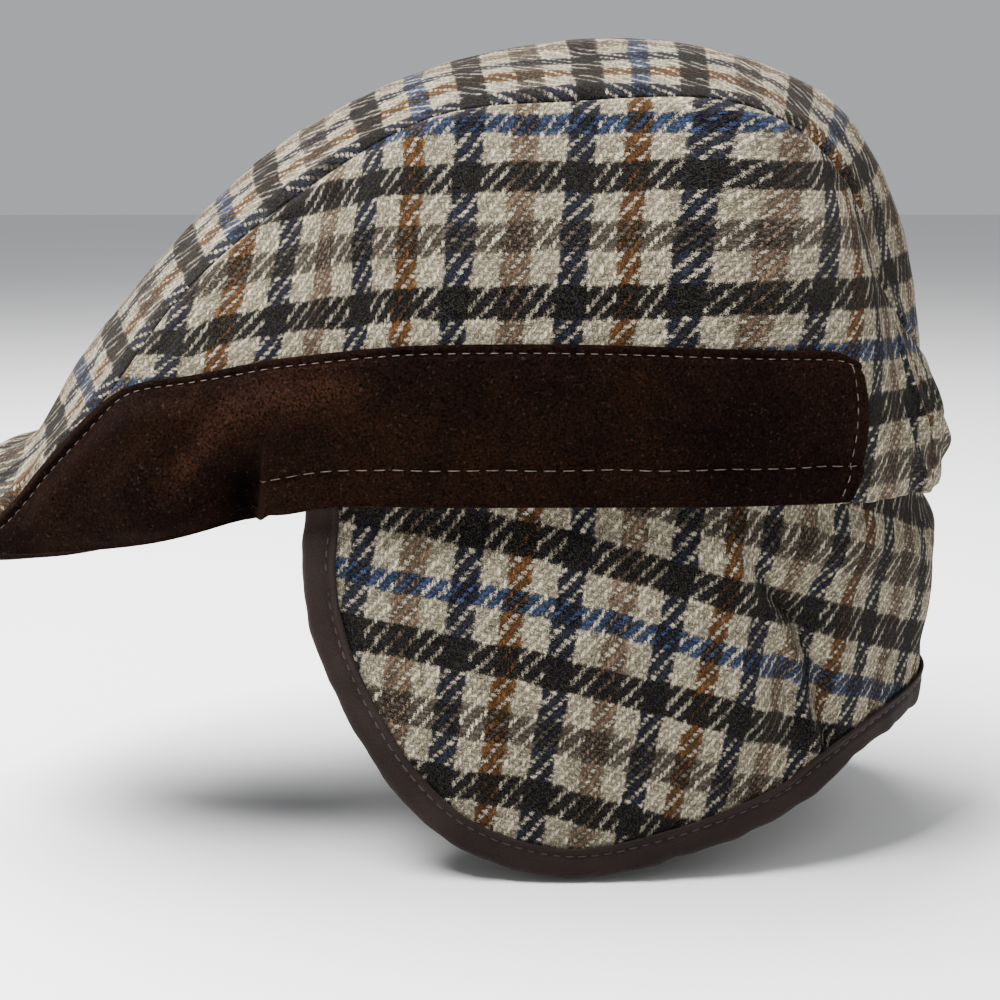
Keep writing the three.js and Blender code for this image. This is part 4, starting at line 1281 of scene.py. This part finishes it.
def flap_flat(s, t):
    """u leans and v climbs with the length round the rim: the slopes grow from the nape and ease in front."""
    angle, z = flap_place(s, t)
    turns = np.linspace(0, 360, 1441)
    length = arc_lengths(rim_point(turns) * [1, 1, 0], 0)
    length -= np.interp(180, turns, length)
    full = 1 + FLAP_GATHER * (1 - ease(np.abs(turns - 180), *FLAP_GATHER_ENDS))
    sewn_in = from_nape(full, length, turns)
    bend = np.tanh(length / FLAP_BEND)
    lean = FLAP_LEAN * bend * (1 - LEAN_EASED * ease(np.abs(length), *LEAN_EASE))
    slope = FLAP_CLIMB * bend * (1 - CLIMB_EASED * ease(np.abs(length), *CLIMB_EASE))
    climb = from_nape(slope, length, turns)
    turn = np.where(s > FLAP_BACK, 360 - angle, angle)
    u = np.interp(turn, turns, sewn_in) + np.interp(turn, turns, lean) * z
    behind, share = tuck(angle, z)
    taken = TUCK_TAKE * share * ease(behind, *TUCK_TAKEN) * (1 - ease(angle, *TUCK_RETURN))
    u = u + np.where(s > FLAP_BACK, -taken, taken)
    v = z / FLAP_ROWS_APART - np.interp(turn, turns, climb)
    return np.stack([u, v], axis=-1) + FLAP_SHIFT


print("cloth that the tuck takes up, mm:", TUCK_TAKE)

# %% Flap mesh
FLAP_WALL = 3.0
FLAP_RADIUS = 1.4
FLAP_WAVES = ((38, 0.7, 21), (14, 0.18, 22))
# The cloth lies flat under the tape and inside the rim, and is uneven beyond these distances from them.
FREE_OF_TAPE, FREE_OF_RIM = (7, 16), (8, 22)

flap_s, flap_t = np.meshgrid(2 * FLAP_BACK * edge_spaced(500, 0.003), edge_spaced(80, 0.02), indexing="ij")
flap_base = flap_point(flap_s, flap_t)
flap_out = flap_normal(flap_s, flap_t)
flap_uv = flap_flat(flap_s, flap_t)
flap_drop, flap_walk = arc_lengths(flap_base, 1), arc_lengths(flap_base, 0)
to_side = np.minimum(flap_walk, flap_walk[-1:] - flap_walk)
to_low = flap_drop[:, -1:] - flap_drop
half = FLAP_WALL / 2 * rounding(np.minimum(flap_drop, to_low), FLAP_RADIUS) * rounding(to_side, FLAP_RADIUS)
unevenness = uneven(flap_uv[..., 0], flap_uv[..., 1], FLAP_WAVES)
behind, share = tuck(*flap_place(flap_s, flap_t))
rolled = TUCK_ROLL * bell(behind + TUCK_ROLL_AHEAD, TUCK_ROLL_WIDTH)
unevenness += share * (rolled - TUCK_DEPTH * bell(behind, TUCK_WIDTH))
flap_lift = unevenness * ease(np.minimum(to_low, to_side), *FREE_OF_TAPE) * ease(flap_drop, *FREE_OF_RIM)
flap_mid = flap_base + flap_out * (flap_lift - FLAP_WALL / 2)[..., None]
flap_wall = wall(flap_mid, flap_out, half, flap_uv)
flap = make_piece("ear_flap_cloth", *flap_wall[:2], tweed, flap_wall[2])
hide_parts("ear_flap")

# %% [markdown]
# ## Tape binding
# The tape is folded over the flap's edge and sewn through near its inner margin. Its cross-section is a
# U: two flat legs and a half round, carried along the flap's outline.

# %% Tape surface
TAPE_WALL = 0.9
TAPE_WIDTH = 6.3
TAPE_FLAT = 0.35


def in_from_outline(s, distance):
    """Place on the flap so far in from its outline, square to it: the slope's sideways part is taken out."""
    h = DIFFERENCE_STEP
    one = np.ones_like(s)
    ds = (flap_point(s + h, one) - flap_point(s - h, one)) / (2 * h)
    dt = (flap_point(s, one) - flap_point(s, one - h)) / h
    slant = (ds * dt).sum(axis=-1) / (ds * ds).sum(axis=-1)
    square = dt - ds * slant[..., None]
    share = distance / np.linalg.norm(square, axis=-1)
    return s + slant * share, 1 - share, unit(square)


def tape_point(s, across):
    """Legs a fixed lift off the flap's two faces, and between them a half circle about the edge's middle."""
    outside = across < 0.5
    leg = np.minimum(across, 1 - across) / TAPE_FLAT
    place_s, place_t, _ = in_from_outline(s, TAPE_WIDTH * (1 - np.minimum(leg, 1)))
    lift = np.where(outside, LAYER_GAP + TAPE_WALL, -FLAP_WALL - LAYER_GAP - TAPE_WALL)
    legs = flap_point(place_s, place_t) + flap_normal(place_s, place_t) * lift[..., None]
    radius = FLAP_WALL / 2 + LAYER_GAP + TAPE_WALL
    turn = np.pi * np.clip((across - TAPE_FLAT) / (1 - 2 * TAPE_FLAT), 0, 1)
    out = flap_normal(s, np.ones_like(s))
    middle = flap_point(s, np.ones_like(s)) - out * FLAP_WALL / 2
    square = in_from_outline(s, np.zeros_like(s))[2]
    fold = middle + radius * (out * np.cos(turn)[..., None] + square * np.sin(turn)[..., None])
    return np.where((leg < 1)[..., None], legs, fold)


tape_line = tape_point(np.full(99, FLAP_BACK), np.linspace(0, 1, 99))
print("tape across its fold at the nape, mm:", round(float(arc_lengths(tape_line, 0)[-1]), 1))

# %% Tape mesh
TAPE_RADIUS = 0.5
TAPE_WAVES, PUCKER_EASE = ((9, 0.16, 31), (24, 0.2, 32)), 4
TAPE_ROW_IN, ROW_DIP, ROW_DIP_WIDTH = 2.0, 0.5, 0.8
leg_steps = TAPE_FLAT * edge_spaced(16, 0.06)[: -len(EDGE_STEPS) - 1]
fold_steps = np.linspace(TAPE_FLAT, 1 - TAPE_FLAT, 17)
tape_across = np.concatenate([leg_steps, fold_steps, 1 - leg_steps[::-1]])
tape_s, tape_a = np.meshgrid(2 * FLAP_BACK * edge_spaced(430, 0.003), np.unique(tape_across), indexing="ij")
tape_base = tape_point(tape_s, tape_a)
tape_out = normals_of(tape_point, tape_s, tape_a, -1)
tape_wide, tape_walk = arc_lengths(tape_base, 1), arc_lengths(tape_base, 0)
tape_uv = np.stack([np.broadcast_to(tape_walk[:, :1], tape_wide.shape), tape_wide], axis=-1)
to_margin = np.minimum(tape_wide, tape_wide[:, -1:] - tape_wide)
to_side = np.minimum(tape_walk, tape_walk[-1:] - tape_walk)
half = TAPE_WALL / 2 * rounding(to_margin, TAPE_RADIUS) * rounding(to_side, TAPE_RADIUS)
puckers = uneven(tape_uv[..., 0], tape_uv[..., 1], TAPE_WAVES) * ease(to_margin, 0, PUCKER_EASE)
dip = ROW_DIP * bell(to_margin - TAPE_ROW_IN, ROW_DIP_WIDTH)
tape_mid = tape_base + tape_out * (puckers - dip - TAPE_WALL / 2)[..., None]
tape_wall = wall(tape_mid, tape_out, half, tape_uv)
binding = make_piece("flap_binding_tape", *tape_wall[:2], tape, tape_wall[2], uv_name="tape_mm")
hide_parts("flap_binding")

# %% Stitches on the tape
TAPE_ROW_FROM, TAPE_ROW_STEPS, TAPE_ROW_SUNK = 0.35, 1500, 0.5
TAPE_STITCH_PITCH, TAPE_STITCH_LENGTH, DARK_THREAD_WIDTH = 3.2, 2.3, 0.4
row_s = np.linspace(TAPE_ROW_FROM, 2 * FLAP_BACK - TAPE_ROW_FROM, TAPE_ROW_STEPS)
row_a = np.full_like(row_s, TAPE_FLAT * (1 - (TAPE_WIDTH - TAPE_ROW_IN) / TAPE_WIDTH))
row_out = normals_of(tape_point, row_s, row_a, -1)
row_path = tape_point(row_s, row_a) - row_out * TAPE_ROW_SUNK
tape_row = stitch_row(row_path, row_out, TAPE_STITCH_PITCH, TAPE_STITCH_LENGTH, DARK_THREAD_WIDTH)
# The tape's stitching is its own thread, made near black as painted shade in the row's dip.
tape_stitches = make_piece("binding_stitches", *tape_row, threads_made["dark_thread_and_painted_shade"])

# %% [markdown]
# ## Light, floor and camera
# The cap is shown as in a plain studio: a pale floor, a large soft light above, a smaller one from the
# front, a weak one from behind and a white room all round. The camera stands at the wearer's left, a
# little above the rim.

# %% Floor and room
FLOOR_HALF = 6.0
floor_mesh = bpy.data.meshes.new("floor")
corners = FLOOR_HALF * np.array([[-1, -1], [1, -1], [1, 1], [-1, 1]])
floor_level = solid_box[0][2] - 0.001
floor_mesh.from_pydata([(x, y, floor_level) for x, y in corners.tolist()], [], [(0, 1, 2, 3)])
floor_finish, tree = new_finish("white_studio_card")
fleck = add_node(tree, "TexNoise", {"Vector": add_node(tree, "TexCoord").outputs["Object"], "Scale": 3.0})
card = add_node(tree, "MapRange", {"Value": fleck, "To Min": 0.76, "To Max": 0.8})
matt = add_node(tree, "BsdfPrincipled", {"Base Color": card, "Roughness": 0.9})
add_node(tree, "OutputMaterial", {"Surface": matt})
floor_mesh.materials.append(floor_finish)
floor = bpy.data.objects.new("floor", floor_mesh)
bpy.context.scene.collection.objects.link(floor)
room = bpy.data.worlds.new("white_room")
room.use_nodes = True
room.node_tree.nodes["Background"].inputs["Color"].default_value = linear("F4F6FA")
room.node_tree.nodes["Background"].inputs["Strength"].default_value = 0.5
bpy.context.scene.world = room
print("floor level, m:", round(floor_level, 4))

# %% Lamps and camera
LOOK_AT = Vector((0, -0.013, -0.008))
LAMPS = (
    ("key_light", (0.5, -0.45, 1.1), 0.5, 40.0),
    ("top_light", (-0.25, -0.35, 1.0), 0.9, 58.0),
    ("fill_light", (0.4, 0.8, 0.8), 0.8, 4.0),
)
for name, place, size, power in LAMPS:
    lamp = bpy.data.lights.new(name, "AREA")
    lamp.size = size
    lamp.energy = power
    holder = bpy.data.objects.new(name, lamp)
    holder.location = place
    holder.rotation_euler = (LOOK_AT - Vector(place)).to_track_quat("-Z", "Y").to_euler()
    bpy.context.scene.collection.objects.link(holder)
lens = bpy.data.cameras.new("camera")
lens.lens = 78.5
lens.sensor_width = 36.0
camera = bpy.data.objects.new("camera", lens)
camera.location = (0.5926, -0.013, 0.0859)
camera.rotation_euler = (LOOK_AT - camera.location).to_track_quat("-Z", "Y").to_euler()
bpy.context.scene.collection.objects.link(camera)
bpy.context.scene.camera = camera
print("camera to cap, m:", round((LOOK_AT - camera.location).length, 3))

# %% Last update of the view layer
bpy.context.view_layer.update()
